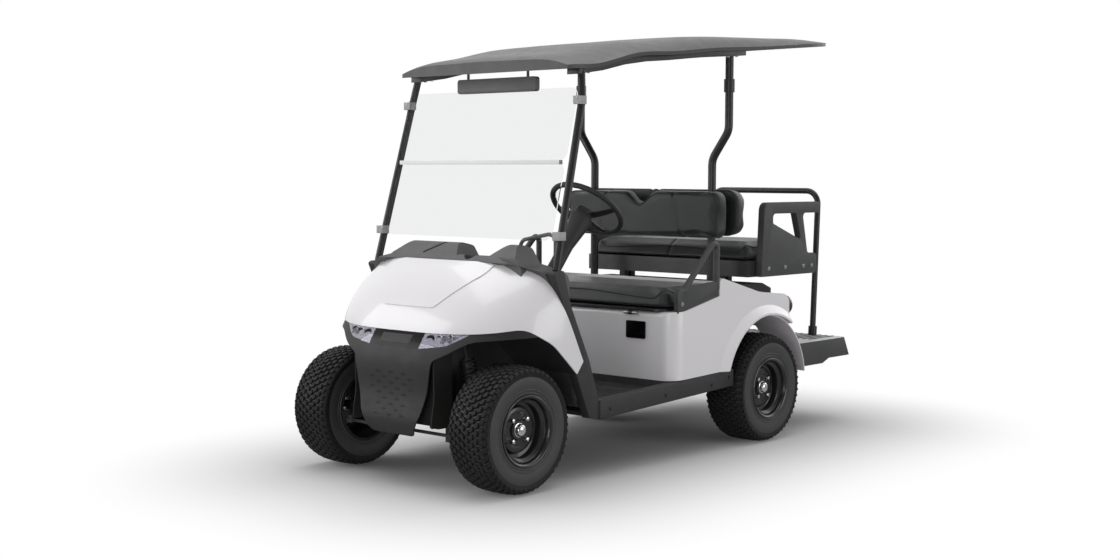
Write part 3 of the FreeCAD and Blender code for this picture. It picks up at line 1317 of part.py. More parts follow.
def grab_hoop():
    """The bent safety bar that stands on the foot platform."""
    foot_y = hoop_foot_y()
    top_y = foot_y + HOOP_LEAN
    feet = [V(-HOOP_HALF, foot_y, PLATFORM_TOP), V(HOOP_HALF, foot_y, PLATFORM_TOP)]
    heads = [V(-HOOP_HALF, top_y, HOOP_TOP), V(HOOP_HALF, top_y, HOOP_TOP)]
    lean = heads[0] - feet[0]
    lean.normalize()
    bar = tube([feet[0] - lean * OVERRUN, heads[0], heads[1], feet[1] - lean * OVERRUN], HOOP_RADIUS,
               HOOP_BEND)
    sockets = [rod(foot - lean * OVERRUN, foot + lean * HOOP_SOCKET_LENGTH,
                   HOOP_SOCKET_RADIUS) for foot in feet]
    whole = fused([bar] + sockets)
    below = block(-PLATFORM_HALF, PLATFORM_HALF, foot_y - OVERRUN * 4, foot_y + OVERRUN * 4,
                  PLATFORM_TOP - OVERRUN * 3, PLATFORM_TOP)
    return largest(whole.cut(below))


def platform_profile(wall):
    """The foot platform in side view, shrunk by a wall."""
    front = PLATFORM_FRONT_Y
    deep_end = front + PLATFORM_DEEP_LENGTH
    drop = OVERRUN if wall else 0
    return [(front + wall, PLATFORM_TOP - wall),
            (REAR_EDGE - PLATFORM_REAR_RAKE - wall, PLATFORM_TOP - wall),
            (REAR_EDGE - wall, PLATFORM_SKIRT - drop),
            (deep_end + PLATFORM_FRONT_RAKE * 2, PLATFORM_SKIRT - drop),
            (deep_end - wall, PLATFORM_DEEP - drop),
            (front + PLATFORM_FRONT_RAKE + wall, PLATFORM_DEEP - drop)]


def foot_platform():
    """The moulded step behind the rear seat, hollow underneath."""
    half = PLATFORM_HALF
    outer = prism("yz", platform_profile(0.0), -half, half)
    inner = prism("yz", platform_profile(PLATFORM_WALL), -half + PLATFORM_WALL, half - PLATFORM_WALL)
    return largest(outer.cut(inner))


# Chassis and running gear

def rail_profile():
    """A chassis rail in side view: low under the floor and raised over the rear axle."""
    kick = WHEELBASE - KICK_START
    rear = PLATFORM_FRONT_Y + PLATFORM_FRONT_RAKE
    return [(-FRONT_RAIL_REACH, RAIL_BOTTOM), (-FRONT_RAIL_REACH, RAIL_TOP),
            (kick - KICK_RUN, RAIL_TOP, RAIL_BEND),
            (kick, KICK_TOP, RAIL_BEND), (rear, KICK_TOP), (rear, KICK_TOP - RAIL_DEPTH),
            (kick + RAIL_DEPTH / 2, KICK_TOP - RAIL_DEPTH, RAIL_BEND),
            (kick - KICK_RUN + RAIL_DEPTH / 2, RAIL_BOTTOM, RAIL_BEND)]


def chassis():
    """The ladder frame: two rails and their cross tubes."""
    half = RAIL_WIDTH / 2
    rail = prism("yz", rail_profile(), RAIL_CENTRE - half, RAIL_CENTRE + half)
    pieces = [rail, mirrored(rail)]
    low = (RAIL_BOTTOM + RAIL_TOP) / 2
    high = KICK_TOP - RAIL_DEPTH / 2
    rear = PLATFORM_FRONT_Y - CROSS_RADIUS
    kick = WHEELBASE - KICK_START - KICK_RUN
    places = [(-FRONT_RAIL_REACH + CROSS_RADIUS, low), (TOE_FOOT + RAIL_WIDTH, low),
              (SEAT_FRONT_Y - RAIL_WIDTH, low), (kick - RAIL_WIDTH, low),
              (WHEELBASE + SPRING_HALF - RAIL_WIDTH * 2, high), (rear - RAIL_WIDTH, high)]
    for y, z in places:
        pieces.append(rod(V(-RAIL_CENTRE, y, z), V(RAIL_CENTRE, y, z), CROSS_RADIUS))
    outrigger_z = RAIL_TOP - CROSS_RADIUS
    for y in (TOE_FOOT + RAIL_WIDTH, SEAT_FRONT_Y - RAIL_WIDTH):
        pieces.append(rod(V(-FLOOR_HALF_WIDTH, y, outrigger_z), V(FLOOR_HALF_WIDTH, y, outrigger_z),
                          CROSS_RADIUS))
    tower_x = RAIL_CENTRE
    for side in (-1, 1):
        pieces.append(block(side * tower_x - half, side * tower_x + half, -RAIL_WIDTH, RAIL_WIDTH,
                            RAIL_TOP - PANEL, RAIL_TOP + TOWER_HEIGHT))
    return fused(pieces).cut(prism("yz", platform_profile(0.0), -PLATFORM_HALF, PLATFORM_HALF))


def knuckle_low():
    """The height of the knuckle barrel's lower end."""
    return AXLE_HEIGHT - KNUCKLE_HEIGHT / 2


def front_suspension():
    """The fixed arms, kingpins and spring legs of both front wheels."""
    low = knuckle_low() - AXIAL_CLEARANCE
    high = knuckle_low() + KNUCKLE_HEIGHT + AXIAL_CLEARANCE
    root_x = RAIL_CENTRE + RAIL_WIDTH / 2
    plan = [(root_x, -ARM_ROOT_HALF), (KINGPIN_X, -ARM_EYE_RADIUS, PANEL),
            (KINGPIN_X, ARM_EYE_RADIUS, PANEL),
            (root_x, ARM_ROOT_HALF), (root_x, ARM_ROOT_HALF - ARM_EYE_RADIUS),
            (KINGPIN_X - ARM_EYE_RADIUS * 2, 0, ARM_EYE_RADIUS / 2),
            (root_x, -ARM_ROOT_HALF + ARM_EYE_RADIUS)]
    pieces = []
    for z0 in (low - ARM_THICKNESS, high):
        arm = prism("xy", plan, z0, z0 + ARM_THICKNESS)
        eye = rod(V(KINGPIN_X, 0, z0), V(KINGPIN_X, 0, z0 + ARM_THICKNESS), ARM_EYE_RADIUS)
        pieces += [arm, eye]
    pieces.append(rod(V(KINGPIN_X, 0, low - ARM_THICKNESS), V(KINGPIN_X, 0, high + ARM_THICKNESS),
                      KINGPIN_RADIUS))
    post_x = root_x + ARM_THICKNESS
    foot = V(post_x + SHOCK_RADIUS, ARM_ROOT_HALF / 2, high + ARM_THICKNESS / 2)
    head = V(root_x - PANEL, ARM_ROOT_HALF / 4, RAIL_TOP + TOWER_HEIGHT - SHOCK_TOP_INSET)
    middle = foot + (head - foot) * 0.5
    pieces.append(rod(foot, head, SHOCK_ROD_RADIUS))
    pieces.append(rod(foot + (head - foot) * 0.12, middle + (head - foot) * 0.25, SHOCK_RADIUS))
    leg = fused(pieces).cut(chassis())
    bridge_low = block(root_x, root_x + ARM_THICKNESS, -ARM_ROOT_HALF, ARM_ROOT_HALF,
                       low - ARM_THICKNESS,
                       high + ARM_THICKNESS)
    return both_sides(largest(fused([leg, bridge_low])))


def knuckle(side):
    """A steering knuckle with its spindle and steering arm, on one side."""
    low = knuckle_low()
    barrel = rod(V(KINGPIN_X, 0, low), V(KINGPIN_X, 0, low + KNUCKLE_HEIGHT), KNUCKLE_RADIUS)
    hub_face = FRONT_TRACK / 2 + TYRE_WIDTH / 2 - DISC_INSET
    spindle = rod(V(KINGPIN_X, 0, AXLE_HEIGHT), V(hub_face + HUB_CAP_LENGTH / 3, 0, AXLE_HEIGHT),
                  SPINDLE_RADIUS)
    collar = rod(V(KINGPIN_X, 0, AXLE_HEIGHT),
                 V(hub_face - HUB_LENGTH - AXIAL_CLEARANCE, 0, AXLE_HEIGHT),
                 SPINDLE_RADIUS * 1.6)
    arm_low = AXLE_HEIGHT - STEERING_ARM_DROP
    half = STEERING_ARM_WIDTH / 2
    arm = block(KINGPIN_X - half, KINGPIN_X + half, -STEERING_ARM, 0, arm_low,
                arm_low + STEERING_ARM_THICKNESS)
    eye = rod(V(KINGPIN_X, -STEERING_ARM, arm_low),
              V(KINGPIN_X, -STEERING_ARM, arm_low + STEERING_ARM_THICKNESS), half)
    pin_low = arm_low - SEAT_GAP - TIE_ROD_EYE_RADIUS - PANEL
    pin = rod(V(KINGPIN_X, -STEERING_ARM, pin_low), V(KINGPIN_X, -STEERING_ARM, arm_low + PANEL),
              TIE_ROD_PIN_RADIUS)
    bore = rod(V(KINGPIN_X, 0, low - OVERRUN), V(KINGPIN_X, 0, low + KNUCKLE_HEIGHT + OVERRUN),
               KINGPIN_RADIUS + RUNNING_CLEARANCE)
    piece = fused([barrel, spindle, collar, arm, eye, pin]).cut(bore)
    return piece if side > 0 else mirrored(piece)


def tie_rod():
    """The rod between the steering arms, with a roomy eye at each end."""
    arm_low = AXLE_HEIGHT - STEERING_ARM_DROP
    top = arm_low - SEAT_GAP
    low = top - TIE_ROD_EYE_RADIUS
    z = (top + low) / 2
    y = -STEERING_ARM
    bar = rod(V(-KINGPIN_X + TIE_ROD_EYE_RADIUS, y, z), V(KINGPIN_X - TIE_ROD_EYE_RADIUS, y, z),
              TIE_ROD_RADIUS / 1.3)
    pieces = [bar]
    bores = []
    for side in (-1, 1):
        pieces.append(rod(V(side * KINGPIN_X, y, low), V(side * KINGPIN_X, y, top),
                          TIE_ROD_EYE_RADIUS + TIE_ROD_PIN_RADIUS))
        bores.append(rod(V(side * KINGPIN_X, y, low - OVERRUN), V(side * KINGPIN_X, y, top + OVERRUN),
                         TIE_ROD_PIN_RADIUS + RUNNING_CLEARANCE))
    whole = fused(pieces)
    for bore in bores:
        whole = whole.cut(bore)
    return whole


def rear_axle():
    """The rear axle tube, its case, the motor block and the wheel stubs."""
    hub_face = REAR_TRACK / 2 + TYRE_WIDTH / 2 - DISC_INSET
    inner = hub_face - HUB_LENGTH - AXIAL_CLEARANCE
    tip = hub_face + HUB_CAP_LENGTH / 3
    pieces = [rod(V(-inner, WHEELBASE, AXLE_HEIGHT), V(inner, WHEELBASE, AXLE_HEIGHT), AXLE_RADIUS),
              rod(V(-tip, WHEELBASE, AXLE_HEIGHT), V(tip, WHEELBASE, AXLE_HEIGHT), SPINDLE_RADIUS),
              rod(V(-AXLE_CASE_HALF, WHEELBASE, AXLE_HEIGHT), V(AXLE_CASE_HALF, WHEELBASE, AXLE_HEIGHT),
                  AXLE_CASE_RADIUS),
              rod(V(0, WHEELBASE, AXLE_HEIGHT), V(0, WHEELBASE - MOTOR_LENGTH, AXLE_HEIGHT),
                  MOTOR_RADIUS)]
    return fused(pieces)


def rear_springs():
    """The leaf springs under the axle with their hangers."""
    half = SPRING_WIDTH / 2
    y0, y1 = WHEELBASE - SPRING_HALF, WHEELBASE + SPRING_HALF
    seat = AXLE_HEIGHT - AXLE_RADIUS
    end = seat + SPRING_SAG
    upper = Part.Arc(V(0, y0, end), V(0, WHEELBASE, seat), V(0, y1, end)).toShape()
    lower = Part.Arc(V(0, y1, end - SPRING_THICKNESS), V(0, WHEELBASE, seat - SPRING_THICKNESS),
                     V(0, y0, end - SPRING_THICKNESS)).toShape()
    wire = Part.Wire([upper, Part.makeLine(V(0, y1, end), V(0, y1, end - SPRING_THICKNESS)), lower,
                      Part.makeLine(V(0, y0, end - SPRING_THICKNESS), V(0, y0, end))])
    face = Part.Face(wire)
    face.translate(V(RAIL_CENTRE - half, 0, 0))
    leaf = face.extrude(V(SPRING_WIDTH, 0, 0))
    hangers = []
    for y in (y0, y1 - SPRING_THICKNESS):
        hangers.append(block(RAIL_CENTRE - half, RAIL_CENTRE + half, y, y + SPRING_THICKNESS,
                             end - SPRING_THICKNESS, KICK_TOP))
    return both_sides(largest(fused([leaf] + hangers).cut(rear_axle()).cut(chassis())))


def battery_block():
    """The battery pack as one plain block on the rails."""
    y0 = SEAT_FRONT_Y + BATTERY_INSET
    return block(-BATTERY_HALF, BATTERY_HALF, y0, y0 + BATTERY_LENGTH, RAIL_TOP,
                 RAIL_TOP + BATTERY_HEIGHT).cut(chassis())


# Wheels

def tyre(x, y, side):
    """A tyre as a turned ring, out to the tips of its lugs."""
    half = TYRE_WIDTH / 2
    bead = BEAD_WIDTH / 2
    out = TYRE_RADIUS
    knee = out - TYRE_SHOULDER
    profile = [(-bead, BEAD_RADIUS), (-bead, RIM_LIP), (-bead - RIM_LIP_WIDTH, RIM_LIP),
               (-half + TREAD_CROWN, (BEAD_RADIUS + out) / 2 - TYRE_WALL), (-half, knee - TYRE_WALL),
               (-half + TREAD_CROWN * 2, knee + TYRE_WALL / 2),
               (-half + TYRE_SHOULDER, out - TREAD_CROWN), (0, out),
               (half - TYRE_SHOULDER, out - TREAD_CROWN),
               (half - TREAD_CROWN * 2, knee + TYRE_WALL / 2),
               (half, knee - TYRE_WALL), (half - TREAD_CROWN, (BEAD_RADIUS + out) / 2 - TYRE_WALL),
               (bead + RIM_LIP_WIDTH, RIM_LIP), (bead, RIM_LIP), (bead, BEAD_RADIUS),
               (bead - TYRE_WALL, BEAD_RADIUS), (half - TYRE_WALL * 1.5, (BEAD_RADIUS + out) / 2),
               (half - TYRE_SHOULDER, knee), (-half + TYRE_SHOULDER, knee),
               (-half + TYRE_WALL * 1.5, (BEAD_RADIUS + out) / 2), (-bead + TYRE_WALL, BEAD_RADIUS)]
    return revolved(profile, V(side * x, y, AXLE_HEIGHT))


def rim(x, y, side):
    """A pressed steel wheel: rim, dished disc and hub, bored for its spindle."""
    bead = BEAD_WIDTH / 2
    wall = RIM_WALL
    well = BEAD_RADIUS - RIM_WELL
    face = TYRE_WIDTH / 2 - DISC_INSET
    barrel = [(-bead - RIM_LIP_WIDTH, RIM_LIP), (-bead, RIM_LIP), (-bead, BEAD_RADIUS),
              (-bead + wall * 5, BEAD_RADIUS),
              (-bead + wall * 8, well), (bead - wall * 8, well), (bead - wall * 5, BEAD_RADIUS),
              (bead, BEAD_RADIUS),
              (bead, RIM_LIP), (bead + RIM_LIP_WIDTH, RIM_LIP),
              (bead + RIM_LIP_WIDTH, BEAD_RADIUS - wall),
              (bead - wall * 4, BEAD_RADIUS - wall), (bead - wall * 7, well - wall),
              (-bead + wall * 7, well - wall),
              (-bead + wall * 4, BEAD_RADIUS - wall), (-bead - RIM_LIP_WIDTH, BEAD_RADIUS - wall)]
    bore = SPINDLE_RADIUS + RUNNING_CLEARANCE
    disc = [(face - wall, bore), (face - wall, HUB_RADIUS * 1.6),
            (face + DISC_RISE - wall, (HUB_RADIUS + well) / 2),
            (face - wall * 3, well - wall / 2), (face - wall, well - wall / 2),
            (face + DISC_RISE + wall, (HUB_RADIUS + well) / 2), (face + wall, HUB_RADIUS * 1.6),
            (face + wall, bore)]
    hub = [(face - HUB_LENGTH, bore), (face - HUB_LENGTH, HUB_RADIUS), (face, HUB_RADIUS),
           (face + wall, HUB_CAP_RADIUS * 1.3), (face + HUB_CAP_LENGTH / 2, HUB_CAP_RADIUS * 1.2),
           (face + HUB_CAP_LENGTH / 2, bore)]
    centre = V(0, 0, 0)
    whole = fused([revolved(barrel, centre), revolved(disc, centre), revolved(hub, centre)])
    if side < 0:
        whole = mirrored(whole)
    whole.translate(V(side * x, y, AXLE_HEIGHT))
    return whole


WHEELS = {"front_left": (FRONT_TRACK / 2, 0.0, 1), "front_right": (FRONT_TRACK / 2, 0.0, -1),
          "rear_left": (REAR_TRACK / 2, WHEELBASE, 1), "rear_right": (REAR_TRACK / 2, WHEELBASE, -1)}

PIECES = {
    "chassis": chassis, "floor_pan": floor_pan, "rocker_panels": rocker_panels,
    "front_cowl": front_cowl, "front_fascia": front_fascia, "headlamp_lenses": headlamp_lenses,
    "headlamp_bowls": headlamp_bowls, "lamp_centre_panel": lamp_centre_panel,
          "pillar_trims": pillar_trims,
    "dashboard": dashboard, "steering_column": steering_column, "steering_wheel": steering_wheel,
    "pedals": pedals, "rear_body": rear_body, "front_liners": front_liners, "rear_liners": rear_liners,
    "charge_port_cover": charge_port_cover, "rear_deck": rear_deck, "tail_lamps": tail_lamps,
    "seat_cushion": seat_cushion, "seat_board": seat_board, "seat_hinges": seat_hinges,
    "front_backrest": front_backrest, "rear_backrest": rear_backrest, "hip_restraints": hip_restraints,
    "front_posts": front_posts, "windscreen_panes": windscreen_panes,
    "windscreen_fittings": windscreen_fittings, "roof": roof, "roof_beams": roof_beams,
    "rear_struts": rear_struts, "mirror_bar": mirror_bar, "rear_seat_base": rear_seat_base,
    "rear_cushion": rear_cushion, "rear_armrests": rear_armrests, "grab_hoop": grab_hoop,
    "foot_platform": foot_platform, "front_suspension": front_suspension,
    "tie_rod": tie_rod, "rear_axle": rear_axle, "rear_springs": rear_springs,
    "battery_block": battery_block,
}


def main():
    """Build every piece and write it to its own file."""
    os.makedirs("parts", exist_ok=True)
    shapes = {name: make() for name, make in PIECES.items()}
    shapes["knuckle_left"] = knuckle(1)
    shapes["knuckle_right"] = knuckle(-1)
    for place, (x, y, side) in WHEELS.items():
        shapes[place + "_tyre"] = tyre(x, y, side)
        shapes[place + "_rim"] = rim(x, y, side)
    for name, shape in shapes.items():
        shape.translate(V(0, -MIDDLE, 0))
        shape.exportStep("parts/" + name + ".step")
        print(name, len(shape.Solids), round(shape.Volume / 1e6, 3), shape.isValid())


main()
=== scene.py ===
"""A four-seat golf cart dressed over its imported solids: metres, Z up, front toward -Y."""
import logging
import math
from contextlib import contextmanager
from dataclasses import dataclass
from enum import Enum
from functools import cached_property
from typing import Callable, Iterable, Iterator, NamedTuple, Sequence

import bmesh
import bpy
from mathutils import Matrix, Vector
from mathutils.bvhtree import BVHTree


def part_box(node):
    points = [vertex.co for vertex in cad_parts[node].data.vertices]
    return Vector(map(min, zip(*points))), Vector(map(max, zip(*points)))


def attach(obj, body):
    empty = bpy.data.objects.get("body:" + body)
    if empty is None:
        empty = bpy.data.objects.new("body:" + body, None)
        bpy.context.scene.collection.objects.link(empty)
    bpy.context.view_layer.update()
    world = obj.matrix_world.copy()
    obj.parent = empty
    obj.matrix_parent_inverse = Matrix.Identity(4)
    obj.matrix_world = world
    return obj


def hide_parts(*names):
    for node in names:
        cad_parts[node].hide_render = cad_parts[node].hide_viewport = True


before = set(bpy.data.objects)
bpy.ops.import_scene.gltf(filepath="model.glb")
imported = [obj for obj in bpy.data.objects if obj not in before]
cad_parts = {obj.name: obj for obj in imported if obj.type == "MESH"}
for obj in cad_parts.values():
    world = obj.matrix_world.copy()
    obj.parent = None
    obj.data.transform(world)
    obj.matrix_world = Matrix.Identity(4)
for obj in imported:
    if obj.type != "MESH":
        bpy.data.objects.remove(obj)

Tree = bpy.types.NodeTree
Node = bpy.types.Node
Socket = bpy.types.NodeSocket
Mesh = bpy.types.Mesh
Object = bpy.types.Object
Profile = Sequence[tuple[float, float]]
Triple = tuple[float, float, float]
Spots = tuple[tuple[float, float], ...]
Seam = Callable[[Vector], float]
Seat = tuple[Vector, Vector, float]

LOG = logging.getLogger("golf_cart")
PHOTO_WIDTH = 1120
WELD = 1e-5
SHARP_DEGREES = 38.0
SIDES = (-1.0, 1.0)
LEFT = Vector((1.0, 0.0, 0.0)).freeze()
REAR = Vector((0.0, 1.0, 0.0)).freeze()
UP = Vector((0.0, 0.0, 1.0)).freeze()
WHITE = (1.0, 1.0, 1.0, 1.0)
# A line toward a face starts this far outside the cart
OUTSIDE = 2.0


class Grain(Enum):
    """The relief that a finish has under the hand."""

    SMOOTH = "smooth"
    FINE = "fine"
    HIDE = "hide"
    CAST = "cast"
    PAINT = "paint"


@dataclass(frozen=True)
class Finish:
    """One finish of the cart: its colour, gloss and relief.

    Attributes:
        name: the material's plain name.
        slot: a material slot's name; not used.
        colour: linear red, green and blue.
        roughness: the middle of its roughness.
        grain: the kind of relief.
        grain_scale: how many grains go into a metre.
        grain_depth: how deep a grain is, in metres.
        drift: how far the colour wanders over the surface.
        dust: how much road dust lies on its lower parts.
        metallic: one for bare metal.
        coat: the clear coat's weight.
        clear: one for glass and clear plastic.
        sheen: the soft glow of cloth and worn vinyl.
        glow: its own light.
        gloss: how strongly it mirrors when seen straight on.
        bend: how far it bends light that passes through it.
    """

    name: str
    slot: str
    colour: Triple
    roughness: float
    grain: Grain = Grain.SMOOTH
    grain_scale: float = 900.0
    grain_depth: float = 0.0002
    drift: float = 0.05
    dust: float = 0.0
    metallic: float = 0.0
    coat: float = 0.0
    clear: float = 0.0
    sheen: float = 0.0
    glow: float = 0.0
    gloss: float = 0.5
    bend: float = 1.45


PEARL = Finish("pearl_paint", "body_pearl", (0.70, 0.685, 0.705), 0.34, Grain.PAINT, 2600.0, 0.00002,
               0.004, 0.02, coat=0.6)
TRIM = Finish("charcoal_trim", "trim_grain", (0.026, 0.0255, 0.027), 0.56, Grain.FINE, 1500.0, 0.00016,
              0.10, 0.06, gloss=0.4)
# Paler than the other trim: painted sheen, standing in for the soft highlights on the dashboard and the
# mirror bar
SHEEN_PAINTED_TRIM = Finish("worn_trim", "trim_grain", (0.082, 0.082, 0.084), 0.52, Grain.FINE, 1500.0, 0.00016,
                   0.10, 0.06)
GREY_TRIM = Finish("grey_trim", "trim_grain", (0.044, 0.0465, 0.045), 0.50, Grain.FINE, 1500.0, 0.00016,
                   0.10, 0.06)
FASCIA = Finish("fascia_trim", "trim_grain", (0.0200, 0.0190, 0.0202), 0.54, Grain.FINE, 1500.0, 0.00016,
                0.10, 0.06, gloss=0.35)
# The foot platform's up-facing faces, painted far paler than its sides: painted top light
TOP_LIGHT_PAINTED_DECK = Finish("deck_plate", "trim_grain", (0.50, 0.515, 0.508), 0.42, Grain.FINE, 1200.0, 0.0001, 0.08, 0.1)
LINER = Finish("black_liner", "liner_black", (0.006, 0.006, 0.0065), 0.8, Grain.FINE, 1100.0, 0.0002,
               0.2, 0.16)
INNER_PANEL = Finish("inner_panel", "liner_black", (0.74, 0.70, 0.735), 0.5, Grain.FINE, 1200.0, 0.0001,
                     0.08, 0.15)
ROOF = Finish("roof_shell", "roof_dark", (0.028, 0.025, 0.027), 0.42, Grain.FINE, 1300.0, 0.00008,
              0.06, 0.0, coat=0.05)
VINYL = Finish("seat_vinyl", "seat_vinyl", (0.0070, 0.0092, 0.0084), 0.40, Grain.HIDE, 620.0, 0.00028,
               0.12, 0.0, sheen=0.18, gloss=0.6)
THREAD = Finish("seat_thread", "seat_vinyl", (0.016, 0.019, 0.018), 0.7, drift=0.2)
SEWN = Finish("sewing", "seat_vinyl", (0.045, 0.05, 0.048), 0.6, drift=0.1)
POWDER = Finish("powder_coat", "frame_black", (0.012, 0.012, 0.013), 0.42, Grain.CAST, 1700.0, 0.00007,
                0.12, 0.05, coat=0.08)
GRIP = Finish("soft_grip", "wheel_grip", (0.016, 0.016, 0.017), 0.55, Grain.HIDE, 900.0, 0.00018, 0.12)
MAT = Finish("floor_mat", "floor_rubber", (0.022, 0.023, 0.024), 0.75, Grain.FINE, 800.0, 0.0003, 0.25, 0.25)
PAD_RUBBER = Finish("pedal_rubber", "floor_rubber", (0.012, 0.012, 0.013), 0.7, Grain.FINE, 900.0, 0.0002,
                    0.15, 0.1)
GLOSS_BLACK = Finish("gloss_panel", "panel_gloss_black", (0.0025, 0.0025, 0.003), 0.22, Grain.PAINT, 2000.0,
                     0.00002, 0.1, gloss=0.14)
LAMP_CLEAR = Finish("lamp_cover", "lamp_clear", (0.96, 0.965, 0.975), 0.03, clear=1.0)
CHROME = Finish("lamp_bowl", "lamp_chrome", (0.30, 0.288, 0.345), 0.22, drift=0.06, metallic=1.0)
# A faint glow of its own: painted light that brightens the bulbs and the lamps' strips
GLOW_PAINTED_BULB = Finish("lamp_bulb", "lamp_chrome", (0.92, 0.93, 0.96), 0.1, glow=0.22)
MIRROR_GLASS = Finish("mirror_glass", "lamp_chrome", (0.82, 0.83, 0.84), 0.03, drift=0.01, metallic=1.0)
RED_LAMP = Finish("red_lamp", "lamp_red", (0.20, 0.008, 0.008), 0.14, coat=0.7)
SCREEN = Finish("clear_screen", "screen_clear", (0.86, 0.865, 0.865), 0.02, clear=1.0, bend=1.03)
GREY_FITTING = Finish("grey_fitting", "fitting_grey", (0.30, 0.30, 0.31), 0.5, Grain.FINE, 1400.0, 0.0001,
                      0.08)
HINGE_STRIP = Finish("hinge_strip", "fitting_grey", (0.72, 0.72, 0.72), 0.4, drift=0.02)
DIAL = Finish("dial_face", "fitting_grey", (0.72, 0.72, 0.70), 0.4, drift=0.03)
STEEL = Finish("zinc_steel", "bare_steel", (0.56, 0.57, 0.59), 0.33, Grain.CAST, 1500.0, 0.00006, 0.12,
               metallic=1.0)
BRIGHT = Finish("bright_nut", "bare_steel", (0.82, 0.83, 0.85), 0.14, drift=0.05, metallic=1.0)
IRON = Finish("black_casting", "axle_iron", (0.025, 0.025, 0.026), 0.6, Grain.CAST, 500.0, 0.0005, 0.3, 0.25)
RUBBER = Finish("tyre_rubber", "tyre_rubber", (0.0075, 0.0075, 0.008), 0.66, Grain.FINE, 900.0, 0.0002,
                0.2, 0.06, gloss=0.3)
# Much paler than the tread's rubber: painted sheen on the tyre's sidewall
SHEEN_PAINTED_SIDEWALL = Finish("tyre_sidewall", "tyre_rubber", (0.034, 0.034, 0.035), 0.5, Grain.FINE, 1100.0, 0.00015,
                  0.12, 0.06)
WHEEL_BLACK = Finish("wheel_paint", "rim_black", (0.009, 0.009, 0.010), 0.3, Grain.PAINT, 1800.0, 0.00003,
                     0.1, 0.08, coat=0.4)
ROAD_DUST = (0.19, 0.165, 0.135, 1.0)

NODE_FINISHES = {
    "front_cowl": PEARL, "rear_body": PEARL, "front_fascia": FASCIA, "pillar_trims": TRIM,
    "rocker_panels": TRIM, "dashboard": SHEEN_PAINTED_TRIM, "steering_column": TRIM, "charge_port_cover": GLOSS_BLACK,
    "rear_deck": TRIM, "front_liners": LINER, "rear_liners": LINER, "floor_pan": MAT,
    "lamp_centre_panel": GLOSS_BLACK, "headlamp_lenses": LAMP_CLEAR, "headlamp_bowls": CHROME,
    "pedals": POWDER, "tail_lamps": RED_LAMP, "seat_board": POWDER, "seat_hinges": STEEL,
    "hip_restraints": GREY_TRIM, "front_posts": POWDER, "windscreen_panes": SCREEN,
    "windscreen_fittings": GREY_FITTING, "roof": ROOF, "roof_beams": POWDER, "rear_struts": POWDER,
    "mirror_bar": SHEEN_PAINTED_TRIM, "rear_seat_base": POWDER, "rear_armrests": GREY_TRIM, "grab_hoop": POWDER,
    "foot_platform": GREY_TRIM, "chassis": POWDER, "front_suspension": IRON, "knuckle_left": IRON,
    "knuckle_right": IRON, "tie_rod": IRON, "rear_axle": IRON, "rear_springs": IRON, "battery_block": TRIM,
}


def feed(tree: Tree, socket: Socket, value: object) -> None:
    """Give an input another node's output, or a plain value."""
    if isinstance(value, bpy.types.NodeSocket):
        tree.links.new(value, socket)
    else:
        socket.default_value = value


def add_node(tree: Tree, kind: str, inputs: dict[str | int, object] | None = None,
             **settings: object) -> Node:
    """Add a node to a tree.

    Args:
        tree: the tree.
        kind: the node's type.
        inputs: what each input is fed, by the input's name or number.
        settings: the node's own choices.

    Returns:
        The node.
    """
    made = tree.nodes.new(kind)
    for name, value in settings.items():
        setattr(made, name, value)
    for key, value in (inputs or {}).items():
        feed(tree, made.inputs[key], value)
    return made


def worked(tree: Tree, operation: str, *values: Socket | float, clamp: bool = False) -> Socket:
    """Run one sum on sockets and plain numbers, and give the result's socket."""
    inputs = dict(enumerate(values))
    return add_node(tree, "ShaderNodeMath", inputs, operation=operation, use_clamp=clamp).outputs[0]


def vector_node(tree: Tree, operation: str, inputs: dict[str | int, object]) -> Node:
    """Add a node that runs one sum on vectors."""
    return add_node(tree, "ShaderNodeVectorMath", inputs, operation=operation)


def open_tree(name: str, kind: str, inputs: dict[str, tuple[str, object]],
              outputs: dict[str, str]) -> tuple[Tree, Node, Node]:
    """Open a new node group with named sockets.

    Args:
        name: the group's name.
        kind: the kind of tree.
        inputs: each input's socket type and standing value.
        outputs: each output's socket type.

    Returns:
        The group, its input node and its output node.
    """
    tree = bpy.data.node_groups.new(name, kind)
    for label, (socket_kind, value) in inputs.items():
        socket = tree.interface.new_socket(label, in_out="INPUT", socket_type=f"NodeSocket{socket_kind}")
        if value is not None:
            socket.default_value = value
    for label, socket_kind in outputs.items():
        tree.interface.new_socket(label, in_out="OUTPUT", socket_type=f"NodeSocket{socket_kind}")
    return tree, tree.nodes.new("NodeGroupInput"), tree.nodes.new("NodeGroupOutput")


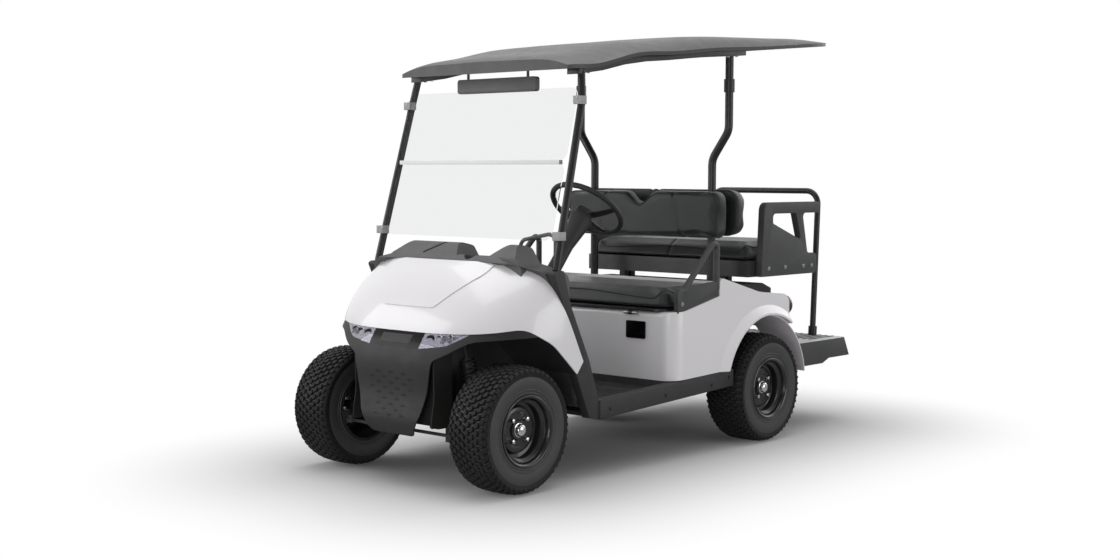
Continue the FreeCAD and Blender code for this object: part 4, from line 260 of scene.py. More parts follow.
class ShaderGroups:
    """The effects that more than one finish uses, each built once as a node group."""

    def __init__(self) -> None:
        """Start with no relief built."""
        self.reliefs: dict[Grain, Tree] = {}

    @staticmethod
    def noise(tree: Tree, vector: Socket, scale: Socket | float, detail: float = 3.0) -> Socket:
        """Add a noise texture and give the socket with its value."""
        inputs = {"Detail": detail, "Vector": vector, "Scale": scale}
        return add_node(tree, "ShaderNodeTexNoise", inputs).outputs["Fac"]

    def relief(self, grain: Grain) -> Tree:
        """Build or find the relief group of a grain.

        Args:
            grain: the kind of relief.

        Returns:
            The group, with Vector and Scale in and Height out.
        """
        if grain in self.reliefs:
            return self.reliefs[grain]
        tree, into, out = open_tree(f"relief_{grain.value}", "ShaderNodeTree",
                                    {"Vector": ("Vector", None), "Scale": ("Float", 900.0)},
                                    {"Height": "Float"})
        vector, scale = into.outputs["Vector"], into.outputs["Scale"]
        if grain is Grain.HIDE:
            cells = add_node(tree, "ShaderNodeTexVoronoi", {"Vector": vector, "Scale": scale},
                             feature="DISTANCE_TO_EDGE")
            edge = worked(tree, "MULTIPLY", cells.outputs["Distance"], 3.2, clamp=True)
            fine = self.noise(tree, vector, worked(tree, "MULTIPLY", scale, 2.3))
            soft = worked(tree, "POWER", edge, 0.5)
            height = worked(tree, "ADD", soft, worked(tree, "MULTIPLY", fine, 0.35))
        elif grain is Grain.CAST:
            coarse = self.noise(tree, vector, worked(tree, "MULTIPLY", scale, 0.3), 4.0)
            fine = self.noise(tree, vector, scale, 2.0)
            height = worked(tree, "ADD", coarse, worked(tree, "MULTIPLY", fine, 0.5))
        elif grain is Grain.PAINT:
            peel = self.noise(tree, vector, worked(tree, "MULTIPLY", scale, 0.09), 1.0)
            fine = self.noise(tree, vector, scale, 1.0)
            height = worked(tree, "ADD", peel, worked(tree, "MULTIPLY", fine, 0.25))
        else:
            height = self.noise(tree, vector, scale)
        feed(tree, out.inputs["Height"], height)
        self.reliefs[grain] = tree
        return tree

    @cached_property
    def tone(self) -> Tree:
        """Build the group that lets a colour wander and lays road dust low down.

        Returns:
            The group, with Colour and Dusty out.
        """
        tree, into, out = open_tree("tone_and_dust", "ShaderNodeTree", {
            "Vector": ("Vector", None), "Colour": ("Color", (0.5, 0.5, 0.5, 1.0)), "Drift": ("Float", 0.1),
            "Dust": ("Float", 0.1)}, {"Colour": "Color", "Dusty": "Float"})
        vector = into.outputs["Vector"]
        broad = worked(tree, "MULTIPLY", self.noise(tree, vector, 7.0, 4.0), 0.65)
        close = worked(tree, "MULTIPLY", self.noise(tree, vector, 60.0), 0.35)
        swing = worked(tree, "SUBTRACT", worked(tree, "ADD", broad, close), 0.5)
        drifted = worked(tree, "MULTIPLY", worked(tree, "MULTIPLY", swing, into.outputs["Drift"]), 4.0)
        varied = vector_node(tree, "SCALE", {
            0: into.outputs["Colour"], "Scale": worked(tree, "ADD", drifted, 1.0)})
        split = add_node(tree, "ShaderNodeSeparateXYZ", {0: vector})
        low = add_node(tree, "ShaderNodeMapRange", {
            "From Min": 0.62, "From Max": 0.05, "Value": split.outputs["Z"]})
        patches = self.noise(tree, vector, 22.0, 5.0)
        patchy = worked(tree, "MULTIPLY", patches, low.outputs["Result"], clamp=True)
        dusty = worked(tree, "MULTIPLY", patchy, into.outputs["Dust"], clamp=True)
        blend = add_node(tree, "ShaderNodeMix", {"Factor": dusty}, data_type="RGBA")
        clean, dusted = [socket for socket in blend.inputs if socket.type == "RGBA"]
        feed(tree, clean, varied.outputs[0])
        feed(tree, dusted, ROAD_DUST)
        mixed = next(socket for socket in blend.outputs if socket.type == "RGBA")
        feed(tree, out.inputs["Colour"], mixed)
        feed(tree, out.inputs["Dusty"], dusty)
        return tree

    @cached_property
    def scuff(self) -> Tree:
        """Build the group that makes roughness uneven, with faint handling marks.

        Returns:
            The group, with Roughness out.
        """
        tree, into, out = open_tree("scuffed_gloss", "ShaderNodeTree", {
            "Vector": ("Vector", None), "Middle": ("Float", 0.5), "Dusty": ("Float", 0.0)},
            {"Roughness": "Float"})
        total = into.outputs["Middle"]
        for scale, detail, weight in ((18.0, 5.0, 0.22), (240.0, 2.0, 0.10)):
            marks = worked(tree, "SUBTRACT", self.noise(tree, into.outputs["Vector"], scale, detail), 0.5)
            total = worked(tree, "ADD", total, worked(tree, "MULTIPLY", marks, weight))
        dusty = worked(tree, "MULTIPLY", into.outputs["Dusty"], 0.35)
        feed(tree, out.inputs["Roughness"], worked(tree, "ADD", total, dusty, clamp=True))
        return tree


class Paintshop:
    """Makes each finish into a material, once."""

    coat_roughness = 0.08
    sheen_roughness = 0.4

    def __init__(self) -> None:
        """Start with the shared groups and no material."""
        self.groups = ShaderGroups()
        self.made: dict[str, bpy.types.Material] = {}

    def material(self, finish: Finish) -> bpy.types.Material:
        """Make or find a finish's material.

        Args:
            finish: the finish.

        Returns:
            Its material.
        """
        if finish.name in self.made:
            return self.made[finish.name]
        material = bpy.data.materials.new(finish.name)
        material.use_nodes = True
        tree = material.node_tree
        shader = tree.nodes["Principled BSDF"]
        given = {"Metallic": finish.metallic, "Coat Weight": finish.coat,
                 "Coat Roughness": self.coat_roughness, "Specular IOR Level": finish.gloss,
                 "Sheen Weight": finish.sheen, "Sheen Roughness": self.sheen_roughness,
                 "Transmission Weight": finish.clear}
        colour = (*finish.colour, 1.0)
        if finish.clear:
            given |= {"Base Color": colour, "Roughness": finish.roughness, "IOR": finish.bend}
            self._let_lamplight_through(tree, shader)
        else:
            self._surface(tree, shader, finish)
        if finish.glow:
            given |= {"Emission Color": colour, "Emission Strength": finish.glow}
        for label, value in given.items():
            feed(tree, shader.inputs[label], value)
        self.made[finish.name] = material
        return material

    @staticmethod
    def _let_lamplight_through(tree: Tree, shader: Node) -> None:
        """Keep a clear finish from casting a solid shadow.

        Args:
            tree: the material's tree.
            shader: its main shader.
        """
        path = add_node(tree, "ShaderNodeLightPath")
        bare = add_node(tree, "ShaderNodeBsdfTransparent")
        mix = add_node(tree, "ShaderNodeMixShader", {
            0: path.outputs["Is Shadow Ray"], 1: shader.outputs[0], 2: bare.outputs[0]})
        feed(tree, tree.nodes["Material Output"].inputs["Surface"], mix.outputs[0])

    def _surface(self, tree: Tree, shader: Node, finish: Finish) -> None:
        """Wire colour, gloss and relief into an opaque finish.

        Args:
            tree: the material's tree.
            shader: its main shader.
            finish: the finish.
        """
        places = add_node(tree, "ShaderNodeTexCoord").outputs["Object"]
        tone = add_node(tree, "ShaderNodeGroup", {
            "Colour": (*finish.colour, 1.0), "Drift": finish.drift, "Dust": finish.dust,
            "Vector": places}, node_tree=self.groups.tone)
        scuff = add_node(tree, "ShaderNodeGroup", {
            "Middle": finish.roughness, "Vector": places,
            "Dusty": tone.outputs["Dusty"]}, node_tree=self.groups.scuff)
        feed(tree, shader.inputs["Base Color"], tone.outputs["Colour"])
        feed(tree, shader.inputs["Roughness"], scuff.outputs["Roughness"])
        if finish.grain is Grain.SMOOTH:
            return
        relief = add_node(tree, "ShaderNodeGroup", {
            "Scale": finish.grain_scale, "Vector": places}, node_tree=self.groups.relief(finish.grain))
        bump = add_node(tree, "ShaderNodeBump", {
            "Distance": finish.grain_depth, "Strength": 1.0, "Height": relief.outputs["Height"]})
        feed(tree, shader.inputs["Normal"], bump.outputs["Normal"])


PAINTSHOP = Paintshop()


def placed(name: str, data: bpy.types.ID) -> Object:
    """Put a mesh, a curve, a lamp or a camera into the scene.

    Args:
        name: the object's name.
        data: what it shows.

    Returns:
        The object.
    """
    made = bpy.data.objects.new(name, data)
    bpy.context.scene.collection.objects.link(made)
    return made


def frozen(carrier: Object) -> Mesh:
    """Run an object's modifiers and remove the object.

    Args:
        carrier: the object.

    Returns:
        The mesh that results.
    """
    graph = bpy.context.evaluated_depsgraph_get()
    mesh = bpy.data.meshes.new_from_object(carrier.evaluated_get(graph), depsgraph=graph)
    bpy.data.objects.remove(carrier)
    return mesh


@contextmanager
def opened(mesh: Mesh, source: Mesh | None = None) -> Iterator[bmesh.types.BMesh]:
    """Open a mesh for edits, and write them back at the end.

    Args:
        mesh: the mesh that is written.
        source: the mesh that is read, where that is another one.

    Returns:
        The open form, for a with statement.
    """
    form = bmesh.new()
    form.from_mesh(source or mesh)
    yield form
    form.to_mesh(mesh)
    form.free()


def evened(form: bmesh.types.BMesh, rounds: int) -> None:
    """Draw each point toward its neighbours, a number of times."""
    for _ in range(rounds):
        bmesh.ops.smooth_vert(form, verts=form.verts, factor=0.5, use_axis_x=True, use_axis_y=True,
                              use_axis_z=True)


def fit(name: str, mesh: Mesh, finish: Finish | None, body: str = "cart", replaces: Iterable[str] = (),
        limit: float = SHARP_DEGREES) -> Object:
    """Put a finished mesh on the cart.

    Args:
        name: the piece's name.
        mesh: its mesh, in place.
        finish: its finish, or none where the mesh has its materials.
        body: the body that it rides on.
        replaces: the nodes that it stands for.
        limit: the angle in degrees past which an edge stays sharp.

    Returns:
        The piece.
    """
    piece = placed(name, mesh)
    if finish:
        mesh.materials.clear()
        mesh.materials.append(PAINTSHOP.material(finish))
    mesh.polygons.foreach_set("use_smooth", [True] * len(mesh.polygons))
    mesh.set_sharp_from_angle(angle=math.radians(limit))
    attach(piece, body)
    if replaces:
        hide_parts(*replaces)
    return piece


def box_of(node: str) -> tuple[Vector, Vector]:
    """Give the lowest and the highest corner of a node's box."""
    low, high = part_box(node)
    return Vector(low), Vector(high)


def turns(steps: int) -> list[float]:
    """Give the angles of a full turn in equal steps."""
    return [2 * math.pi * k / steps for k in range(steps)]


def circle(steps: int, across: float, along: float, level: float) -> list[Vector]:
    """Give a ring of points round +Z, half as wide and half as long as told."""
    return [Vector((across * math.cos(turn), along * math.sin(turn), level)) for turn in turns(steps)]


class Blank:
    """A mesh in the making, in the cart's own metres."""

    def __init__(self) -> None:
        """Start empty."""
        self.form = bmesh.new()

    def loft(self, rings: Sequence[Sequence[Vector]], closed: bool = True, caps: bool = True) -> "Blank":
        """Join equal rings of points with faces.

        Args:
            rings: the rings in order.
            closed: whether each ring returns to its start.
            caps: whether the first and last ring are filled.

        Returns:
            This blank.
        """
        rows = [[self.form.verts.new(point) for point in ring] for ring in rings]
        count = len(rows[0])
        for first, second in zip(rows, rows[1:]):
            for i in range(count if closed else count - 1):
                j = (i + 1) % count
                self.form.faces.new((first[i], first[j], second[j], second[i]))
        if caps and closed:
            self.form.faces.new(list(reversed(rows[0])))
            self.form.faces.new(rows[-1])
        return self

    def stack(self, tiers: Profile, steps: int) -> "Blank":
        """Join rings round +Z, one for each pair of radius and height."""
        return self.loft([circle(steps, radius, radius, level) for radius, level in tiers])

    def spin(self, profile: Profile, centre: Vector, steps: int, side: float = 1.0,
             along: Vector = LEFT) -> "Blank":
        """Turn a closed profile round an axle.

        Args:
            profile: pairs of radius and distance along the axle.
            centre: the place on the axle that distances start from.
            steps: how many flats make the turn.
            side: plus or minus one, the way that distances count.
            along: the axle's direction.

        Returns:
            This blank.
        """
        frame_turn = along.to_track_quat("Z", "Y").to_matrix()
        rows = []
        for turn in turns(steps):
            out = frame_turn @ Vector((math.cos(turn), math.sin(turn), 0.0))
            rows.append([self.form.verts.new(centre + along * (side * reach) + out * radius)
                         for radius, reach in profile])
        count = len(profile)
        for i, first in enumerate(rows):
            second = rows[(i + 1) % steps]
            for j in range(count):
                k = (j + 1) % count
                self.form.faces.new((first[j], first[k], second[k], second[j]))
        return self

    def sweep(self, path: Sequence[Vector], radius: float, sides: int = 8, closed: bool = False) -> "Blank":
        """Carry a round section along a path.

        Args:
            path: the path's points.
            radius: the section's radius.
            sides: how many flats the section has.
            closed: whether the path returns to its start.

        Returns:
            This blank.
        """
        count = len(path)
        rings = []
        up = UP
        for i, point in enumerate(path):
            before = path[i - 1] if i or closed else point
            after = path[(i + 1) % count] if i < count - 1 or closed else point
            ahead = (after - before).normalized()
            if abs(ahead.dot(up)) > 0.98:
                up = REAR if abs(ahead.y) < 0.9 else LEFT
            across = ahead.cross(up).normalized()
            up = across.cross(ahead).normalized()
            rings.append([point + across * (radius * math.cos(turn)) + up * (radius * math.sin(turn))
                          for turn in turns(sides)])
        if closed:
            rings.append(rings[0])
        return self.loft(rings, True, not closed)

    def block(self, low: Sequence[float], high: Sequence[float], edge: float = 0.0) -> "Blank":
        """Add a box with rounded edges.

        Args:
            low: its lowest corner.
            high: its highest corner.
            edge: the radius of its edges.

        Returns:
            This blank.
        """
        low, high = Vector(low), Vector(high)
        move = Matrix.Translation((low + high) / 2) @ Matrix.Diagonal((*(high - low), 1.0))
        made = bmesh.ops.create_cube(self.form, size=1.0, matrix=move)
        if edge:
            edges = list({e for vert in made["verts"] for e in vert.link_edges})
            bmesh.ops.bevel(self.form, geom=edges, offset=edge, segments=2, profile=0.5, affect="EDGES")
        return self

    def mesh(self, name: str) -> Mesh:
        """Close the drawing and give its mesh, faces outwards.

        Args:
            name: the mesh's name.

        Returns:
            The mesh.
        """
        bmesh.ops.remove_doubles(self.form, verts=self.form.verts, dist=1e-6)
        bmesh.ops.recalc_face_normals(self.form, faces=self.form.faces)
        mesh = bpy.data.meshes.new(name)
        self.form.to_mesh(mesh)
        self.form.free()
        return mesh

    def fitted(self, name: str, finish: Finish, body: str = "cart", replaces: Iterable[str] = (),
               limit: float = SHARP_DEGREES) -> Object:
        """Close the drawing and put it on the cart as a piece."""
        return fit(name, self.mesh(name), finish, body, replaces, limit)


class Skin:
    """A surface that small pieces are rested on."""

    def __init__(self, mesh: Mesh) -> None:
        """Read a mesh's faces."""
        self.faces = BVHTree.FromPolygons([vert.co for vert in mesh.vertices],
                                          [tuple(face.vertices) for face in mesh.polygons])

    @classmethod
    def of(cls, node: str) -> "Skin":
        """Give a node's surface."""
        return cls(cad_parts[node].data)

    def hit(self, start: Sequence[float], heading: Vector) -> tuple[Vector, Vector] | None:
        """Find where a straight line first meets the surface.

        Args:
            start: where the line starts.
            heading: the way it runs.

        Returns:
            The place and the outward normal there, or none.
        """
        place, normal, _, _ = self.faces.ray_cast(Vector(start), heading.normalized())
        if place is None:
            return None
        return place, (normal if normal.dot(heading) < 0 else -normal)

    def seats(self, starts: Iterable[Sequence[float]], heading: Vector, sink: float = 0.0) -> list[Seat]:
        """Give the seats, sunk by a depth, where lines that run the same way meet the surface."""
        hits = (self.hit(start, heading) for start in starts)
        return [(found[0] - found[1] * sink, found[1], 0.0) for found in hits if found]


class Layout(Enum):
    """How a repeated piece is laid out."""

    ROUND_AXLE = "pieces_round_axle"
    ON_PLACES = "pieces_on_places"


class Repeats:
    """Node trees that repeat one small piece, and the call that turns the result into a mesh."""

    def __init__(self) -> None:
        """Start with no tree built."""
        self.trees: dict[Layout, Tree] = {}

    @staticmethod
    def _round_axle(tree: Tree, into: Node) -> tuple[Socket, Socket]:
        """Give equal places round an axle.

        Args:
            tree: the tree.
            into: its input node.

        Returns:
            The places and each place's turn.
        """
        count, radius, phase, place = (into.outputs[name] for name in ("Count", "Radius", "Phase", "Place"))
        points = add_node(tree, "GeometryNodePoints", {"Count": count})
        index = add_node(tree, "GeometryNodeInputIndex")
        share = worked(tree, "DIVIDE", index.outputs["Index"], count)
        turned = worked(tree, "ADD", worked(tree, "MULTIPLY", share, 2 * math.pi), phase)
        back = worked(tree, "MULTIPLY", worked(tree, "SINE", turned), -1.0)
        spot = add_node(tree, "ShaderNodeCombineXYZ", {
            "Y": worked(tree, "MULTIPLY", back, radius),
            "Z": worked(tree, "MULTIPLY", worked(tree, "COSINE", turned), radius)})
        moved = vector_node(tree, "ADD", {0: spot.outputs[0], 1: place})
        seat = add_node(tree, "GeometryNodeSetPosition", {
            "Geometry": points.outputs[0], "Position": moved.outputs[0]})
        turn = add_node(tree, "ShaderNodeCombineXYZ", {"X": turned})
        return seat.outputs["Geometry"], turn.outputs[0]

    def tree(self, layout: Layout) -> Tree:
        """Build or find the tree of a layout: places, the piece on each, and its finish.

        Args:
            layout: the layout.

        Returns:
            Its tree.
        """
        if layout in self.trees:
            return self.trees[layout]
        inputs = {"Geometry": "Geometry", "Piece": "Object", "Finish": "Material"}
        if layout is Layout.ROUND_AXLE:
            inputs |= {"Count": "Int", "Radius": "Float", "Phase": "Float", "Place": "Vector"}
        tree, into, out = open_tree(layout.value, "GeometryNodeTree",
                                    {label: (kind, None) for label, kind in inputs.items()},
                                    {"Geometry": "Geometry"})
        if layout is Layout.ROUND_AXLE:
            points, turn = self._round_axle(tree, into)
        else:
            points = into.outputs["Geometry"]
            turn = add_node(tree, "GeometryNodeInputNamedAttribute", {"Name": "turn"},
                            data_type="FLOAT_VECTOR").outputs["Attribute"]
        piece = add_node(tree, "GeometryNodeObjectInfo", {"Object": into.outputs["Piece"]})
        spread = add_node(tree, "GeometryNodeInstanceOnPoints", {
            "Points": points, "Instance": piece.outputs["Geometry"], "Rotation": turn})
        real = add_node(tree, "GeometryNodeRealizeInstances", {"Geometry": spread.outputs["Instances"]})
        dress = add_node(tree, "GeometryNodeSetMaterial", {
            "Geometry": real.outputs["Geometry"], "Material": into.outputs["Finish"]})
        result = dress.outputs["Geometry"]
        if layout is Layout.ROUND_AXLE:
            both = add_node(tree, "GeometryNodeJoinGeometry", {"Geometry": result})
            feed(tree, both.inputs["Geometry"], into.outputs["Geometry"])
            result = both.outputs["Geometry"]
        feed(tree, out.inputs["Geometry"], result)
        self.trees[layout] = tree
        return tree

    def run(self, host: Mesh, layout: Layout, piece: Mesh, finish: Finish, **values: object) -> Mesh:
        """Run a tree on a mesh and give the plain result.

        Args:
            host: the mesh that the tree starts from.
            layout: how the piece is laid out.
            piece: the piece's mesh, drawn at the origin.
            finish: the copies' finish.
            values: the tree's other inputs.

        Returns:
            The new mesh.
        """
        template = placed("template", piece)
        carrier = placed("carrier", host)
        modifier = carrier.modifiers.new("repeats", "NODES")
        modifier.node_group = self.tree(layout)
        given = {"Piece": template, "Finish": PAINTSHOP.material(finish)} | values
        for item in modifier.node_group.interface.items_tree:
            if item.in_out == "INPUT" and item.name in given:
                modifier[item.identifier] = given[item.name]
        made = frozen(carrier)
        bpy.data.objects.remove(template)
        return made

    def on_places(self, name: str, places: Sequence[Seat], piece: Mesh, finish: Finish,
                  body: str = "cart") -> Object:
        """Seat copies of a piece on listed places.

        Args:
            name: the new piece's name.
            places: each copy's place, outward normal and turn about it.
            piece: the copied mesh, drawn at the origin with +Z outwards.
            finish: its finish.
            body: the body that it rides on.

        Returns:
            The new piece.
        """
        host = bpy.data.meshes.new(f"{name}_places")
        host.from_pydata([place for place, _, _ in places], [], [])
        turn = host.attributes.new("turn", "FLOAT_VECTOR", "POINT")
        for i, (_, normal, spin) in enumerate(places):
            way = normal.to_track_quat("Z", "Y").to_matrix() @ Matrix.Rotation(spin, 3, "Z")
            turn.data[i].vector = way.to_euler()
        made = self.run(host, Layout.ON_PLACES, piece, finish)
        made.name = name
        result = fit(name, made, None, body)
        return result


REPEATS = Repeats()


def bolt_head(radius: float, height: float) -> Mesh:
    """Draw a six-sided bolt head on its washer.

    Args:
        radius: across the head's corners, halved.
        height: how far it stands.

    Returns:
        Its mesh, +Z outwards.
    """
    washer = radius * 1.35
    blank = Blank().stack([(washer, -height * 0.3), (washer, height * 0.18)], 14)
    return blank.stack([(radius, 0.0), (radius, height * 0.8), (radius * 0.82, height)], 6).mesh("bolt_head")


def button_head(radius: float, height: float) -> Mesh:
    """Draw a low domed rivet head, +Z outwards."""
    dome = ((1.0, -0.5), (1.0, 0.25), (0.85, 0.7), (0.5, 0.95), (0.12, 1.0))
    return Blank().stack([(radius * out, height * level) for out, level in dome], 14).mesh("button_head")


def rounded(corners: Sequence[tuple[float, float, float]], steps: int = 5) -> list[tuple[float, float]]:
    """Round the corners of a flat outline.

    Args:
        corners: each corner's two coordinates and its radius.
        steps: how many pieces make each round.

    Returns:
        The outline's points.
    """
    points = []
    count = len(corners)
    for i, (a, b, radius) in enumerate(corners):
        here = Vector((a, b))
        to_last = Vector(corners[i - 1][:2]) - here
        to_next = Vector(corners[(i + 1) % count][:2]) - here
        cut = min(radius, to_last.length * 0.49, to_next.length * 0.49)
        if cut <= 0.0:
            points.append((a, b))
            continue
        start = here + to_last.normalized() * cut
        end = here + to_next.normalized() * cut
        for step in range(steps + 1):
            t = step / steps
            place = start * (1 - t) ** 2 + here * 2 * t * (1 - t) + end * t ** 2
            points.append((place.x, place.y))
    return points


def panel(left: float, foot: float, right: float, head: float, corner: float) -> list[tuple[float, float]]:
    """Give the outline of an upright panel with rounded corners."""
    return rounded([(left, foot, corner), (right, foot, corner), (right, head, corner), (left, head, corner)])


def front_moulded(name: str, outline: Profile, thickness: float, edge: float, plane: float,
                  finish: Finish) -> Object:
    """Put a flat upright moulding with rounded edges on the cart.

    Args:
        name: the piece's name.
        outline: its outline as seen from the front.
        thickness: how thick it is.
        edge: the radius of its edges.
        plane: where its middle plane stands, along the cart.
        finish: its finish.

    Returns:
        The piece.
    """
    curve = bpy.data.curves.new(name, "CURVE")
    curve.dimensions = "2D"
    curve.fill_mode = "BOTH"
    curve.offset = -edge
    curve.extrude = thickness / 2 - edge
    curve.bevel_depth = edge
    curve.bevel_resolution = 3
    spline = curve.splines.new("POLY")
    spline.points.add(len(outline) - 1)
    for point, (a, b) in zip(spline.points, outline):
        point.co = (a, b, 0.0, 1.0)
    spline.use_cyclic_u = True
    mesh = frozen(placed(name, curve))
    stand = Matrix.Translation((0.0, plane, 0.0)) @ Matrix.Rotation(math.pi / 2, 4, "X")
    with opened(mesh) as form:
        bmesh.ops.remove_doubles(form, verts=form.verts, dist=WELD)
        bmesh.ops.transform(form, matrix=stand, verts=form.verts)
        bmesh.ops.recalc_face_normals(form, faces=form.faces)
    return fit(name, mesh, finish)


class LugRow(NamedTuple):
    """One row of tread lugs.

    Attributes:
        reach: how far it lies from the tyre's middle plane.
        across: a lug's width across the tyre.
        along: its length round the tyre.
        lean: how far its top slides round the tyre.
        drop: how far its outer edge falls.
        top: the radius of its top.
        phase: the row's start, as a share of the step between lugs.
    """

    reach: float
    across: float
    along: float
    lean: float
    drop: float
    top: float
    phase: float


LUG_ROWS = (
    LugRow(0.0120, 0.0200, 0.0215, 0.006, 0.0, 0.2552, 0.0),
    LugRow(0.0355, 0.0195, 0.0215, 0.006, 0.0, 0.2548, 0.5),
    LugRow(0.0585, 0.0190, 0.0215, 0.006, 0.0005, 0.2538, 0.0),
    LugRow(0.0800, 0.0170, 0.0215, 0.004, 0.0030, 0.2505, 0.5),
    LugRow(0.0940, 0.0130, 0.0250, 0.0, 0.0080, 0.2440, 0.0),
)
TYRE_OUTSIDE = (
    (0.1285, 0.089), (0.134, 0.0935), (0.145, 0.0965), (0.148, 0.0995), (0.152, 0.0998), (0.155, 0.0972),
    (0.160, 0.0980), (0.1615, 0.1002), (0.1645, 0.1002), (0.166, 0.0990), (0.178, 0.1008), (0.192, 0.1018),
    (0.206, 0.1012), (0.218, 0.0990), (0.226, 0.0965), (0.233, 0.0925), (0.2385, 0.0860), (0.2418, 0.0760),
    (0.2440, 0.0560), (0.2452, 0.0300), (0.2455, 0.0))
TYRE_INSIDE = ((0.1285, 0.075), (0.150, 0.083), (0.190, 0.088), (0.215, 0.082), (0.228, 0.064), (0.231, 0.0))
RIM_BAND = (
    (0.141, 0.094), (0.143, 0.0965), (0.1425, 0.100), (0.139, 0.1015), (0.1345, 0.1000), (0.1300, 0.0955),
    (0.1275, 0.0900), (0.1265, 0.0780), (0.1215, 0.0720), (0.1120, 0.0660), (0.1105, 0.0560),
    (0.1105, 0.0380), (0.0980, 0.0330), (0.0940, 0.0390), (0.0900, 0.0475), (0.0840, 0.0500),
    (0.0700, 0.0490), (0.0660, 0.0450), (0.0420, 0.0450), (0.0400, 0.0520), (0.0370, 0.0545),
    (0.0290, 0.0545), (0.0290, 0.0350), (0.0640, 0.0360), (0.0880, 0.0340), (0.0960, 0.0260),
    (0.1100, 0.0240), (0.1105, -0.0600), (0.1245, -0.0760), (0.1275, -0.0900), (0.1345, -0.1000),
    (0.1390, -0.1015), (0.1425, -0.1000), (0.1410, -0.0940), (0.1345, -0.0940), (0.1310, -0.0880),
    (0.1310, -0.0740), (0.1165, -0.0600), (0.1165, 0.0620), (0.1310, 0.0740), (0.1310, 0.0880),
    (0.1345, 0.0940))
HUB_CAP = ((0.0001, 0.076), (0.012, 0.0755), (0.0205, 0.073), (0.0245, 0.068), (0.0255, 0.0555),
           (0.0285, 0.0545), (0.0285, 0.050), (0.0001, 0.050))
WHEEL_NUT = ((0.0115, -0.004), (0.0115, 0.0), (0.0098, 0.004), (0.0098, 0.013), (0.0078, 0.0165),
             (0.002, 0.0180))


